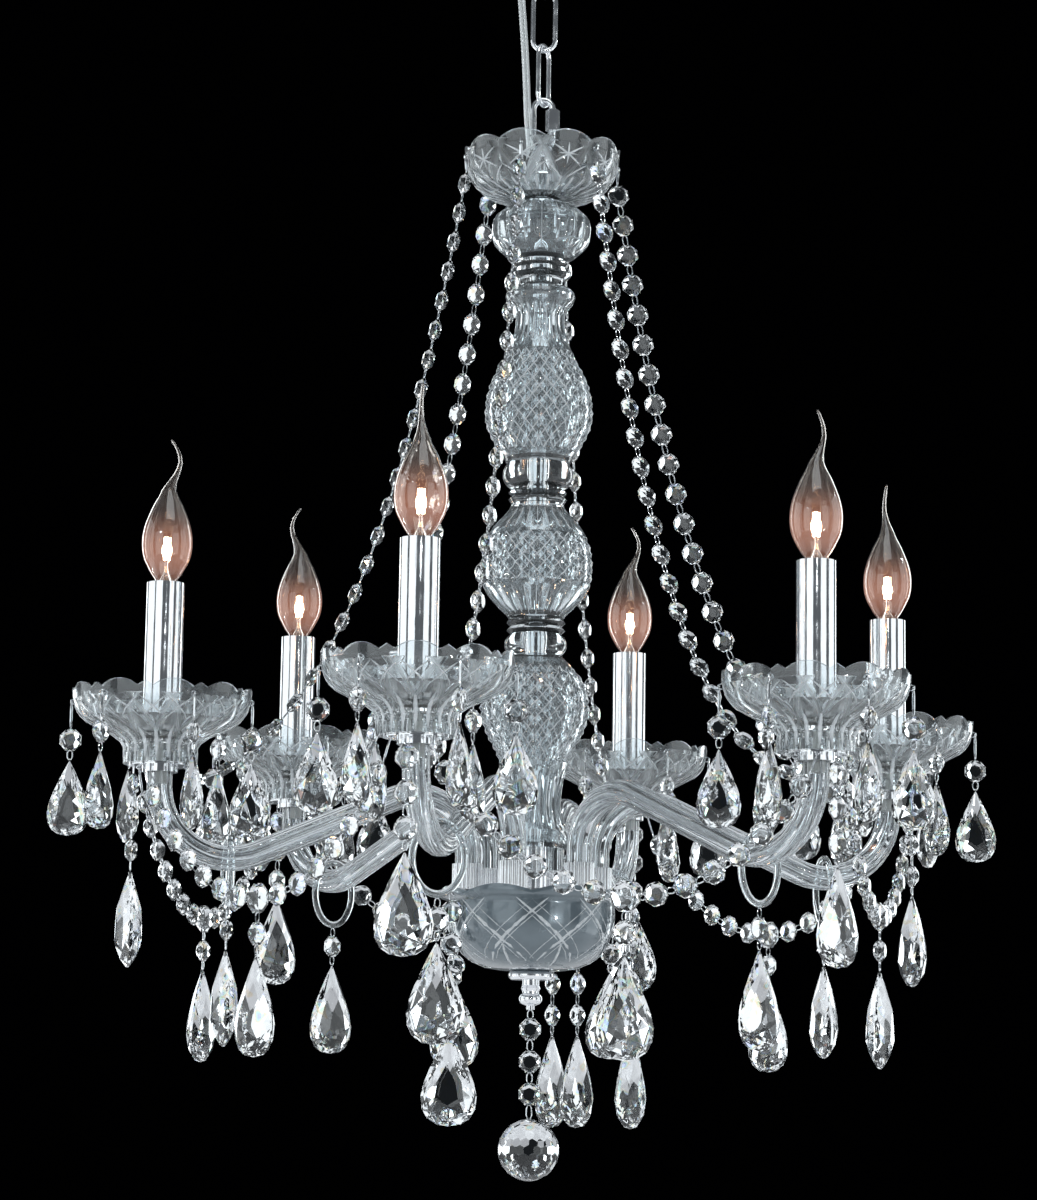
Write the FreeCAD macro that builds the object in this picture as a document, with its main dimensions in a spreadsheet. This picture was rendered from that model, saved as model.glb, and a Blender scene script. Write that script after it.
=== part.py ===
import FreeCAD, Part
import math
import os
import Sketcher
from FreeCAD import Matrix, Placement, Rotation, Vector

# A six-light crystal chandelier. Z is up and the origin is the middle of the canopy's
# rim, on the ceiling. Lengths are in millimetres, heights below the ceiling negative.

DRIVING_SIZES = {
    "ceiling": {
        "canopy_radius": 57, "canopy_height": 30, "canopy_wall": 1.5, "canopy_shoulder": 19, "loop_hole_radius": 8, "loop_wire_radius": 2,
        "loop_collar_radius": 8, "loop_collar_height": 5, "loop_shank_radius": 5,
        "loop_shank_length": 12, "lock_nut_across": 15, "lock_nut_height": 4, "gland_radius": 5,
        "gland_height": 3, "cord_radius": 2.5, "cord_clearance": 0.15, "swing_gap": 0.3,
    },
    "chain": {
        "link_length": 45.3, "link_width": 18.4, "link_wire_radius": 1.6, "link_turn": 62,
        "quick_length": 39, "quick_width": 17.2, "quick_wire_radius": 2, "nut_across": 8.4,
        "nut_length": 14.5, "nut_offset": 3, "nut_clearance": 0.1, "mouth_height": 7.1,
        "mouth_width": 5, "contact_gap": 0.05,
    },
    "stem": {
        "eye_hole_radius": 3.6, "eye_rim": 3.4, "eye_thickness": 3, "eye_gap": 0.3, "eye_shank_radius": 4.7,
        "eye_shank_length": 10, "bell_radius": 13, "bell_height": 14, "bell_edge": 3,
        "cord_seat_depth": 4, "stem_radius": 5, "stem_bore_radius": 3.4, "stem_clearance": 0.2,
        "stem_thread_depth": 10, "spacer_radius": 9,
    },
    "crown": {
        "crown_radius": 53, "crown_depth": 36, "crown_foot_radius": 22, "crown_wall": 3,
        "crown_floor": 4, "crown_lobe_count": 10, "crown_lobe_rise": 5, "crown_turn": 20,
        "crest_trim": 0.15,
    },
    "column": {
        "melon_height": 43, "melon_radius": 34, "melon_lobe_count": 18, "melon_lobe_depth": 1.6,
        "upper_collar_height": 17.2, "upper_collar_radius": 20.5, "upper_vase_height": 121.6,
        "upper_vase_radius": 36.4, "upper_vase_lip": 23.7, "upper_vase_neck": 17,
        "middle_collar_height": 28.8, "middle_collar_radius": 23.5, "middle_ball_height": 76.7,
        "middle_ball_radius": 37.5, "lower_collar_height": 25.6, "lower_collar_radius": 20.7,
        "lower_vase_height": 128.6, "lower_vase_radius": 36.6, "lower_vase_neck": 18.2,
        "lower_vase_flange": 24.2, "collar_end_radius": 17.5, "flute_count": 20, "flute_depth": 1.1,
    },
    "hub": {
        "vase_to_plate": 29.3, "plate_radius": 54, "plate_thickness": 3,
        "ferrule_circle_radius": 43.8, "ferrule_radius": 10.1, "ferrule_height": 18,
        "ferrule_flute_count": 22, "ferrule_flute_depth": 0.7, "arm_fit_clearance": 0.2,
        "bowl_height": 47.7, "bowl_rim_radius": 55.6, "bowl_neck_radius": 47.5,
        "bowl_belly_radius": 49.8, "bowl_wall": 2.6, "bowl_rim_rise": 6.3, "bowl_wave_count": 6,
        "bowl_wave_depth": 3, "cap_disc_radius": 15, "cap_disc_height": 6, "cap_neck_radius": 5.6,
        "cap_knob_radius": 7.5, "cap_height": 25.3, "cap_tip_radius": 2.8, "cap_screw_length": 5,
    },
    "arms": {
        "lamp_circle_radius": 248, "first_lamp_angle": -106.6, "lamp_spread": 60,
        "arm_radius": 8.3, "arm_rib_count": 12, "arm_rib_depth": 0.8, "arm_bore_radius": 3.6,
        "arch_radius": 36, "arch_top_rise": 62, "bend_radius": 46, "arm_end_rise": 12,
        "cup_above_plate": 74.5,
    },
    "lamps": {
        "pin_plate_radius": 20, "pin_plate_thickness": 1.2, "pin_circle_radius": 17,
        "pin_hole_radius": 0.8, "pin_hole_count": 8, "pin_skirt_radius": 11.5,
        "pin_skirt_height": 4, "nipple_radius": 5, "nipple_seat_depth": 11,
        "nipple_clearance": 0.2, "dish_foot_radius": 24, "dish_foot_width": 6, "dish_radius": 58, "dish_height": 49,
        "dish_floor_height": 23, "dish_floor": 6, "dish_wall": 2.6, "dish_lobe_count": 10,
        "dish_lobe_rise": 4.6, "dish_peak_rise": 3, "holder_flange_radius": 10.5,
        "holder_flange_height": 3, "holder_radius": 9.6, "holder_height": 34,
        "holder_bore_radius": 6.3, "holder_bore_depth": 26, "sleeve_radius": 12.2,
        "sleeve_wall": 0.8, "sleeve_length": 95.3, "sleeve_lip": 1,
    },
    "bulbs": {
        "bulb_screw_radius": 6, "bulb_screw_length": 22, "bulb_neck_radius": 6.3,
        "bulb_radius": 16.4, "bulb_belly_height": 27, "bulb_shoulder_height": 61,
        "bulb_tip_height": 95, "bulb_tail_reach": 7, "bulb_lift": 0.3,
    },
    "crystals": {
        "bead_radius": 7, "bead_half_depth": 3.6, "bead_pitch": 19.5, "chain_pitch": 21,
        "wire_width": 1.2, "wire_depth": 0.8, "big_bead_radius": 9, "big_bead_half_depth": 4.6,
        "large_drop_length": 62, "large_drop_width": 37, "large_drop_depth": 17,
        "small_drop_length": 49.5, "small_drop_width": 28, "small_drop_depth": 13,
        "strand_sag_factor": 78, "strand_bead_count": 23, "swag_sag": 85, "swag_bead_count": 15,
        "swag_hook_angle": 45, "ring_half_width": 13.7, "ring_wire_radius": 2.3,
        "ring_height": 41.5, "ring_tip_radius": 3, "ring_place_radius": 202,
        "drop_hook": 5.5, "cup_chain_bead_count": 3, "rim_drop_count": 6, "rim_drop_turn": -17,
        "rim_hook": 18, "rim_hole_depth": 4, "rim_hole_radius": 0.9, "strand_hook": 12, "bowl_chain_bead_count": 4,
        "crystal_ball_radius": 20, "ball_bead_count": 3,
    },
}

# The supply cord's corners, and how the strands, bulb tails and bowl drops are turned.
CORD_ROUTE = (
    (-20.0, -8.0, -24.0), (-19.6, -8.0, -52.0), (-16.9, -7.7, -88.0), (-13.8, -7.1, -124.0),
    (-11.7, -6.5, -155.0), (-10.6, -6.0, -184.0), (-8.0, -5.0, -206.0), (-8.0, -5.0, -227.0),
)
STRAND_TURNS = (90, 0, 90, 90, 0, 0)
TAIL_TURNS = (100, 40, 100, 20, 200, 0)
# Each bowl drop's direction from the column, its distance and the way its face looks.
BOWL_DROPS = ((210, 60, -95), (-2, 66, -28), (58, 60, -34), (75.5, 60, -34))

doc = FreeCAD.newDocument("Chandelier")
sheet = doc.addObject("Spreadsheet::Sheet", "Sizes")


def fill_sheet():
    """Write each driving size to the sheet under its own alias."""
    row = 1
    for group, sizes in DRIVING_SIZES.items():
        sheet.set(f"A{row}", group)
        row += 1
        for alias, value in sizes.items():
            sheet.set(f"A{row}", alias.replace("_", " "))
            sheet.set(f"B{row}", str(value))
            sheet.setAlias(f"B{row}", alias)
            row += 1
    doc.recompute()


class Size:
    """A number that keeps the sheet formula it comes from, so that both go on together."""

    def __init__(self, value, formula=None):
        self.value = float(value)
        self.formula = formula or repr(float(value))

    def _join(self, other, sign, value):
        return Size(value, f"({self.formula} {sign} {as_size(other).formula})")

    def __add__(self, other):
        return self._join(other, "+", self.value + as_size(other).value)

    def __sub__(self, other):
        return self._join(other, "-", self.value - as_size(other).value)

    def __mul__(self, other):
        return self._join(other, "*", self.value * as_size(other).value)

    def __truediv__(self, other):
        return self._join(other, "/", self.value / as_size(other).value)

    def __neg__(self):
        return Size(0) - self

    def __radd__(self, other):
        return as_size(other) + self

    def __rsub__(self, other):
        return as_size(other) - self

    def __rmul__(self, other):
        return as_size(other) * self

    def __float__(self):
        return self.value


def as_size(number):
    return number if isinstance(number, Size) else Size(number)


class Sheet:
    """Reads a driving size by its alias."""

    def __getattr__(self, alias):
        return Size(sheet.get(alias), f"Sizes.{alias}")


s = Sheet()


def number(alias):
    return float(sheet.get(alias))


def count(alias):
    return int(round(number(alias)))


def bind(item, prop, size):
    """Give a property its size and the formula that keeps it."""
    size = as_size(size)
    if "." not in prop:
        setattr(item, prop, size.value)
    item.setExpression(prop, size.formula)


def place_at_height(item, height):
    item.Placement = Placement(Vector(0, 0, float(height)), Rotation())
    item.setExpression("Placement.Base.z", as_size(height).formula)


# Sketched pieces

def origin_plane(body, role):
    return next(plane for plane in body.Origin.OriginFeatures if plane.Role == role)


def hold_coordinate(sketch, kind, axis, side, end, size):
    """Hold one end of a side on the axis, or at its distance from the origin."""
    if abs(size.value) < 1e-9:
        sketch.addConstraint(Sketcher.Constraint("PointOnObject", side, end, axis))
        return
    index = sketch.addConstraint(Sketcher.Constraint(kind, -1, 1, side, end, size.value))
    sketch.setExpression(f"Constraints[{index}]", size.formula)


def arc_between(start, end, radius):
    """The short arc from start to end that bulges to the right, or left if radius is negative."""
    chord = end - start
    half = chord.Length / 2
    reach = math.sqrt(max(radius * radius - half * half, 0))
    rise = abs(radius) - reach
    side = Vector(chord.y, -chord.x, 0).normalize() * math.copysign(rise, radius)
    return Part.Arc(start, (start + end) / 2 + side, end)


def outline_sketch(sketch, corners, arcs=None):
    """A closed outline through the corners, with an arc of the given radius on some sides."""
    arcs = arcs or {}
    points = [Vector(float(x), float(y), 0) for x, y in corners]
    sides = len(points)
    for side in range(sides):
        start, end = points[side], points[(side + 1) % sides]
        if side in arcs:
            sketch.addGeometry(arc_between(start, end, float(arcs[side])), False)
        else:
            sketch.addGeometry(Part.LineSegment(start, end), False)
    # An arc is kept anticlockwise, so a clockwise one starts where its side ends.
    heads = [2 if float(arcs.get(side, 1)) < 0 else 1 for side in range(sides)]
    for side, head in enumerate(heads):
        after = (side + 1) % sides
        sketch.addConstraint(Sketcher.Constraint("Coincident", side, 3 - head, after,
                                                 heads[after]))
    for side, (x, y) in enumerate(corners):
        hold_coordinate(sketch, "DistanceX", -2, side, heads[side], as_size(x))
        hold_coordinate(sketch, "DistanceY", -1, side, heads[side], as_size(y))
    for side, radius in arcs.items():
        radius = as_size(radius)
        if radius.value < 0:
            radius = -radius
        index = sketch.addConstraint(Sketcher.Constraint("Radius", side, radius.value))
        sketch.setExpression(f"Constraints[{index}]", radius.formula)
    return sketch


def turned(label, corners, arcs=None):
    """A turned piece: its outline, from its own foot up, goes once round the Z axis."""
    sketch = doc.addObject("Sketcher::SketchObject", f"{label}_outline")
    sketch.Placement = Placement(Vector(), Rotation(Vector(1, 0, 0), 90))
    outline_sketch(sketch, corners, arcs)
    turn = doc.addObject("Part::Revolution", label)
    turn.Label = label
    turn.Source = sketch
    turn.Axis, turn.Base = Vector(0, 0, 1), Vector(0, 0, 0)
    turn.Angle, turn.Solid = 360, True
    return turn


def body_on(label, blank):
    """A body that goes on from a turned blank."""
    body = doc.addObject("PartDesign::Body", label)
    body.Label = label
    body.BaseFeature = blank
    return body


def plane_sketch(body, name, plane):
    sketch = body.newObject("Sketcher::SketchObject", name)
    sketch.AttachmentSupport = (origin_plane(body, plane), [""])
    sketch.MapMode = "FlatFace"
    return sketch


def cut_through(body, name, sketch):
    pocket = body.newObject("PartDesign::Pocket", name)
    pocket.Profile = sketch
    pocket.Type = "ThroughAll"
    pocket.Reversed = True
    body.Tip = pocket
    return pocket


def cut_rim(body, name, corners, copies, arcs=None):
    """Notches cut outward through a rim, the same all the way round."""
    sketch = outline_sketch(plane_sketch(body, f"{name}_notch", "YZ_Plane"), corners, arcs)
    repeat_round(body, f"{name}_cuts", cut_through(body, f"{name}_cut", sketch), copies)


def repeat_round(body, name, feature, copies):
    pattern = body.newObject("PartDesign::PolarPattern", name)
    pattern.Originals = [feature]
    pattern.Axis = (origin_plane(body, "Z_Axis"), [""])
    pattern.Angle = 360
    pattern.Occurrences = int(round(copies.value))
    pattern.setExpression("Occurrences", copies.formula)
    body.Tip = pattern


# Shapes made with the geometry kernel's own functions

def show(label, shape, placement=None):
    piece = doc.addObject("Part::Feature", label)
    piece.Label = label
    piece.Shape = shape
    if placement:
        piece.Placement = placement
    return piece


def turned_copy(label, shape, angle):
    return show(label, shape.copy(), Placement(Vector(), Rotation(Vector(0, 0, 1), angle)))


def lobed_ring(radius, depth, lobes, height=0.0):
    """A closed ring of convex lobes, as deep as the groove between them."""
    step = 2 * math.pi / lobes
    edges = []
    for lobe in range(lobes):
        ring = [(radius - depth, lobe * step), (radius, (lobe + 0.5) * step),
                (radius - depth, (lobe + 1) * step)]
        points = [Vector(r * math.cos(a), r * math.sin(a), height) for r, a in ring]
        edges.append(Part.Arc(*points).toShape())
    return Part.Wire(edges)


def lobed_column(stations, lobes, bore_radius):
    """A bored solid through lobed rings: each station is its height, radius and groove depth."""
    rings = [lobed_ring(radius, depth, lobes, height) for height, radius, depth in stations]
    solid = Part.makeLoft(rings, True)
    low, high = stations[0][0], stations[-1][0]
    bore = Part.makeCylinder(bore_radius, high - low + 2, Vector(0, 0, low - 1))
    return solid.cut(bore)


def polyhedron(points, triangles):
    faces = []
    for corners in triangles:
        wire = Part.makePolygon([points[corner] for corner in corners] + [points[corners[0]]])
        faces.append(Part.Face(wire))
    solid = Part.Solid(Part.Shell(faces))
    return solid if solid.Volume > 0 else solid.reversed()


def octagon_bead(radius, half_depth):
    """An eight-sided bead whose facets meet at a point in front and behind."""
    reach = radius / math.cos(math.pi / 8)
    angles = [math.pi / 8 + corner * math.pi / 4 for corner in range(8)]
    points = [Vector(reach * math.cos(a), 0, reach * math.sin(a)) for a in angles]
    points += [Vector(0, -half_depth, 0), Vector(0, half_depth, 0)]
    triangles = []
    for corner in range(8):
        after = (corner + 1) % 8
        triangles += [(corner, after, 8), (after, corner, 9)]
    return polyhedron(points, triangles)


PEAR_OUTLINE = ((0.0, 0.02), (0.42, 0.28), (0.8, 0.5), (1.0, 0.72), (0.72, 0.92), (0.0, 1.0))
PEAR_WINDOW = ((0.0, 0.12), (0.42, 0.66), (0.0, 0.93))


def pear_drop(length, width, depth):
    """A pear-shaped drop under its hole, with a lozenge window on both of its faces."""
    half = width / 2
    right = [Vector(x * half, 0, -z * length) for x, z in PEAR_OUTLINE]
    left = [Vector(-p.x, 0, p.z) for p in right[-2:0:-1]]
    rim = right + left
    points = list(rim)
    (_, top), (side, middle), (_, low) = PEAR_WINDOW
    for face in (-1, 1):
        window = ((0, top, 0.5), (side, middle, 1), (0, low, 0.55), (-side, middle, 1))
        points += [Vector(x * half, face * depth / 2 * rise, -z * length)
                   for x, z, rise in window]
    triangles = []
    sides = len(rim)
    owner = (0, 0, 1, 1, 1, 2, 3, 3, 3, 0)
    for first, turn in ((sides, 1), (sides + 4, -1)):
        faces = [(first, first + 1, first + 3), (first + 1, first + 2, first + 3)]
        for corner in range(sides):
            after = (corner + 1) % sides
            near, far = first + owner[corner], first + owner[after]
            faces.append((corner, after, near))
            if near != far:
                faces.append((after, far, near))
        triangles += [face[::turn] for face in faces]
    return polyhedron(points, triangles)


def wire_bar(start, end, across=Vector(1, 0, 0)):
    """A short straight length of hook wire between two points."""
    along = end - start
    length = along.Length
    along.normalize()
    across = (across - along * across.dot(along)).normalize()
    width, depth = number("wire_width"), number("wire_depth")
    bar = Part.makeBox(width, depth, length, Vector(-width / 2, -depth / 2, 0))
    return bar.transformGeometry(frame_matrix(across, along.cross(across), along, start))


def frame_matrix(x_axis, y_axis, z_axis, base):
    return Matrix(x_axis.x, y_axis.x, z_axis.x, base.x, x_axis.y, y_axis.y, z_axis.y, base.y,
                  x_axis.z, y_axis.z, z_axis.z, base.z, 0, 0, 0, 1)


def moved(shape, x_axis, y_axis, z_axis, base):
    """A copy of a shape in the frame of three square axes at a point."""
    copy = shape.copy()
    copy.Placement = Placement(frame_matrix(x_axis, y_axis, z_axis, base))
    return copy


def polar(radius, angle, height):
    turn = math.radians(angle)
    return Vector(radius * math.cos(turn), radius * math.sin(turn), height)


def lamp_angles():
    first, spread = number("first_lamp_angle"), number("lamp_spread")
    return [first + lamp * spread for lamp in range(6)]


# Heights, from the ceiling down

def chain_heights():
    """The middles of the loop, the three links, the quick link and the stem's eye."""
    heights = {}
    loop_outer = s.loop_hole_radius + 2 * s.loop_wire_radius
    heights["loop"] = -(s.canopy_height + s.loop_collar_height + loop_outer) + 0.5
    held_by = heights["loop"] - s.loop_hole_radius
    for name in ("upper", "middle", "lower"):
        gap = s.swing_gap if name == "upper" else s.contact_gap
        top = held_by + gap + 2 * s.link_wire_radius
        heights[name] = top - s.link_length / 2
        held_by = heights[name] - s.link_length / 2 + 2 * s.link_wire_radius
    top = held_by + s.contact_gap + 2 * s.quick_wire_radius
    heights["quick"] = top - s.quick_length / 2
    held_by = heights["quick"] - s.quick_length / 2 + 2 * s.quick_wire_radius
    heights["eye"] = held_by + s.eye_gap - s.eye_hole_radius
    return heights


def column_heights(eye):
    """The foot of each piece of the column, from the stem's bell down to the plate."""
    bell_top = eye - s.eye_hole_radius - s.eye_rim - s.eye_shank_length
    feet = {"bell": bell_top - s.bell_height}
    feet["crown"] = feet["bell"] - s.crown_floor
    feet["melon"] = feet["crown"] - s.melon_height
    feet["upper_collar"] = feet["melon"] - s.upper_collar_height
    feet["upper_vase"] = feet["upper_collar"] - s.upper_vase_height
    feet["middle_collar"] = feet["upper_vase"] - s.middle_collar_height
    feet["middle_ball"] = feet["middle_collar"] - s.middle_ball_height
    feet["lower_collar"] = feet["middle_ball"] - s.lower_collar_height
    feet["lower_vase"] = feet["lower_collar"] - s.lower_vase_height
    feet["plate"] = feet["lower_vase"] - s.vase_to_plate - s.plate_thickness
    feet["bowl"] = feet["plate"] - s.bowl_height
    feet["cap"] = feet["bowl"] - s.cap_height
    feet["cup"] = feet["plate"] + s.plate_thickness + s.cup_above_plate
    return feet


fill_sheet()
CHAIN = chain_heights()
FEET = column_heights(CHAIN["eye"])


# Ceiling fittings and chain

def make_canopy():
    """A spun cup that closes the ceiling box, with a hole for the loop and one for the cord."""
    wall, height, radius = s.canopy_wall, s.canopy_height, s.canopy_radius
    shoulder = s.canopy_shoulder
    floor = radius - 1 - shoulder
    hole = s.loop_shank_radius + 0.1
    corners = [(hole, 0), (floor, 0), (radius - 1, shoulder), (radius, height),
               (radius - wall, height), (radius - 1 - wall, shoulder),
               (floor, wall), (hole, wall)]
    blank = turned("canopy_blank", corners, {1: shoulder, 5: wall - shoulder})
    canopy = body_on("ceiling_canopy", blank)
    sketch = plane_sketch(canopy, "canopy_cord_hole", "XY_Plane")
    across, away, _ = CORD_ROUTE[0]
    radius = number("gland_radius") - 1
    sketch.addGeometry(Part.Circle(Vector(across, away, 0), Vector(0, 0, 1), radius), False)
    index = sketch.addConstraint(Sketcher.Constraint("Radius", 0, radius))
    sketch.setExpression(f"Constraints[{index}]", "Sizes.gland_radius - 1")
    cut_through(canopy, "canopy_cord_cut", sketch)
    place_at_height(canopy, -height)
    return canopy


def hexagon(across, height, base):
    corners = [polar(across / 2 / math.cos(math.pi / 6), 60 * corner, 0) + base
               for corner in range(7)]
    return Part.Face(Part.makePolygon(corners)).extrude(Vector(0, 0, height))


def make_fittings():
    """The ring that the chain hangs from with its threaded shank and nut, and the cord's gland."""
    wire = number("loop_wire_radius")
    ring = Part.makeTorus(number("loop_hole_radius") + wire, wire, Vector(0, 0, 0),
                          Vector(0, 1, 0))
    ring.translate(Vector(0, 0, CHAIN["loop"].value))
    under = -number("canopy_height")
    inside = under + number("canopy_wall")
    collar_height = number("loop_collar_height")
    collar = Part.makeCylinder(number("loop_collar_radius"), collar_height,
                               Vector(0, 0, under - collar_height))
    shank = Part.makeCylinder(number("loop_shank_radius"), number("loop_shank_length"),
                              Vector(0, 0, under))
    nut = hexagon(number("lock_nut_across"), number("lock_nut_height"), Vector(0, 0, inside))
    loop = ring.fuse([collar, shank, nut]).removeSplitter()
    height = number("gland_height")
    place = Vector(CORD_ROUTE[0][0], CORD_ROUTE[0][1], under)
    flange = Part.makeCylinder(number("gland_radius"), height, place - Vector(0, 0, height))
    sleeve = Part.makeCylinder(number("gland_radius") - 1.1, height + 2, place)
    way = Part.makeCylinder(number("cord_radius") + number("cord_clearance"), 3 * height + 4,
                            place - Vector(0, 0, height + 1))
    gland = flange.fuse(sleeve).cut(way)
    return show("canopy_fittings", Part.makeCompound([loop, gland]))


def link_shape(length, width, wire):
    """One oval link in the XZ plane, its middle at the origin."""
    bend = width / 2 - wire
    leg = length / 2 - width / 2
    ring = Part.makeTorus(bend, wire, Vector(0, 0, 0), Vector(0, 1, 0))
    upper_half = Part.makeBox(2 * width, 2 * width, width, Vector(-width, -width, 0))
    upper, lower = ring.common(upper_half), ring.cut(upper_half)
    upper.translate(Vector(0, 0, leg))
    lower.translate(Vector(0, 0, -leg))
    legs = [Part.makeCylinder(wire, 2 * leg, Vector(side * bend, 0, -leg)) for side in (-1, 1)]
    return upper.fuse([lower] + legs).removeSplitter()


def make_chain():
    link = link_shape(number("link_length"), number("link_width"), number("link_wire_radius"))
    turns = {"upper": 90, "middle": 0, "lower": number("link_turn")}
    for name, turn in turns.items():
        place = Placement(Vector(0, 0, CHAIN[name].value), Rotation(Vector(0, 0, 1), turn))
        show(f"chain_link_{name}", link.copy(), place)


def make_quick_link():
    """The screw-lock link, open in its right leg, and the hex nut that closes the mouth."""
    length, width = number("quick_length"), number("quick_width")
    wire = number("quick_wire_radius")
    leg_x = width / 2 - wire
    mouth = number("mouth_width")
    gap = Part.makeCylinder(2 * wire, mouth, Vector(leg_x, 0, number("mouth_height") - mouth / 2))
    link = link_shape(length, width, wire).cut(gap)
    show("quick_link", link, Placement(Vector(0, 0, CHAIN["quick"].value), Rotation()))
    nut = doc.addObject("Part::Prism", "nut_prism")
    nut.Polygon = 6
    bind(nut, "Circumradius", s.nut_across / 2 / math.cos(math.pi / 6))
    bind(nut, "Height", s.nut_length)
    bore = doc.addObject("Part::Cylinder", "nut_bore")
    bind(bore, "Radius", s.quick_wire_radius + s.nut_clearance)
    bind(bore, "Height", s.nut_length)
    cut = doc.addObject("Part::Cut", "quick_link_nut")
    cut.Base, cut.Tool = nut, bore
    cut.Label = "quick_link_nut"
    height = CHAIN["quick"] - s.nut_length / 2 + s.nut_offset
    cut.Placement = Placement(Vector(leg_x, 0, float(height)), Rotation())
    cut.setExpression("Placement.Base.x", (s.quick_width / 2 - s.quick_wire_radius).formula)
    cut.setExpression("Placement.Base.z", height.formula)


def make_cord():
    """The supply cord: straight runs joined by arcs as large as the runs allow."""
    points = [Vector(*point) for point in CORD_ROUTE]
    runs = [after - before for before, after in zip(points, points[1:])]
    edges, here, radii = [], points[0], []
    for corner, (into, out) in zip(points[1:], zip(runs, runs[1:])):
        turn = into.getAngle(out)
        radius = 0.45 * min(into.Length, out.Length) / math.tan(turn / 2)
        radii.append(radius)
        reach = radius * math.tan(turn / 2)
        start = corner - Vector(into).normalize() * reach
        end = corner + Vector(out).normalize() * reach
        inward = (Vector(out).normalize() - Vector(into).normalize()).normalize()
        middle = corner + inward * (radius / math.cos(turn / 2) - radius)
        edges.append(Part.LineSegment(here, start).toShape())
        edges.append(Part.Arc(start, middle, end).toShape())
        here = end
    edges.append(Part.LineSegment(here, points[-1]).toShape())
    path = Part.Wire(edges)
    radius = number("cord_radius")
    section = Part.Wire([Part.Circle(points[0], runs[0], radius).toShape()])
    tube = path.makePipeShell([section], True, True)
    print("cord arcs:", [round(r, 1) for r in radii], "length", round(path.Length, 1),
          "volume", round(tube.Volume / (math.pi * radius ** 2 * path.Length), 4))
    return show("supply_cord", tube)


def make_stem_loop():
    """The eye on the quick link, and the bell under it that the cord enters."""
    eye_radius = number("eye_hole_radius") + number("eye_rim")
    thickness = number("eye_thickness")
    middle = CHAIN["eye"].value
    eye = Part.makeCylinder(eye_radius, thickness, Vector(-thickness / 2, 0, middle),
                            Vector(1, 0, 0))
    foot = FEET["bell"].value
    height, radius = number("bell_height"), number("bell_radius")
    bell = Part.makeCylinder(radius, height, Vector(0, 0, foot))
    top_edges = [edge for edge in bell.Edges if edge.BoundBox.ZMin > foot + height - 0.01
                 and len(edge.Vertexes) == 1]
    bell = bell.makeFillet(number("bell_edge"), top_edges)
    shank = Part.makeCylinder(number("eye_shank_radius"), number("eye_shank_length") + 3,
                              Vector(0, 0, foot + height - 1))
    body = eye.fuse([bell, shank])
    hole = Part.makeCylinder(number("eye_hole_radius"), thickness + 2,
                             Vector(-thickness / 2 - 1, 0, middle), Vector(1, 0, 0))
    thread = Part.makeCylinder(number("stem_radius"), number("stem_thread_depth"),
                               Vector(0, 0, foot))
    end = Vector(*CORD_ROUTE[-1])
    seat = Part.makeCylinder(number("cord_radius") + number("cord_clearance"),
                             foot + height - end.z + 1, end)
    return show("stem_loop", body.cut([hole, thread, seat]).removeSplitter())


def make_stem():
    """The threaded tube that holds the column together, from the bell to the bottom cap."""
    foot = FEET["cap"] + s.cap_height - s.cap_screw_length
    top = FEET["bell"] + s.stem_thread_depth
    outer = doc.addObject("Part::Cylinder", "stem_outer")
    bore = doc.addObject("Part::Cylinder", "stem_bore")
    bind(outer, "Radius", s.stem_radius)
    bind(bore, "Radius", s.stem_bore_radius)
    for tube in (outer, bore):
        bind(tube, "Height", top - foot)
    cut = doc.addObject("Part::Cut", "centre_stem")
    cut.Base, cut.Tool = outer, bore
    cut.Label = "centre_stem"
    place_at_height(cut, foot)
    return cut


# Column

def rim_scallops(body, name, radius, top, rise, lobes):
    """Notches whose two round sides leave the rim as a row of convex lobes."""
    half = radius * math.pi / lobes
    crest, above = top + s.crest_trim, top + 2
    climb = rise + s.crest_trim
    notch = [(0, top - rise), (half, crest), (half, above), (-half, above), (-half, crest)]
    arc = half * half / climb / 2 + climb / 2
    cut_rim(body, name, notch, lobes, {0: -arc, 4: -arc})


def drill_rim(body, name, height, holes, turn):
    """Small holes through a rim for hooks, the first at an angle from the piece's own X axis."""
    sketch = plane_sketch(body, f"{name}_hole", "YZ_Plane")
    sketch.AttachmentOffset = Placement(Vector(), Rotation(Vector(0, 1, 0), turn))
    radius = number("rim_hole_radius")
    sketch.addGeometry(Part.Circle(Vector(0, float(height), 0), Vector(0, 0, 1), radius), False)
    sketch.addConstraint(Sketcher.Constraint("PointOnObject", 0, 3, -2))
    index = sketch.addConstraint(Sketcher.Constraint("DistanceY", -1, 1, 0, 3, float(height)))
    sketch.setExpression(f"Constraints[{index}]", height.formula)
    index = sketch.addConstraint(Sketcher.Constraint("Radius", 0, radius))
    sketch.setExpression(f"Constraints[{index}]", "Sizes.rim_hole_radius")
    repeat_round(body, f"{name}_holes", cut_through(body, f"{name}_drill", sketch), holes)


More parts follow.
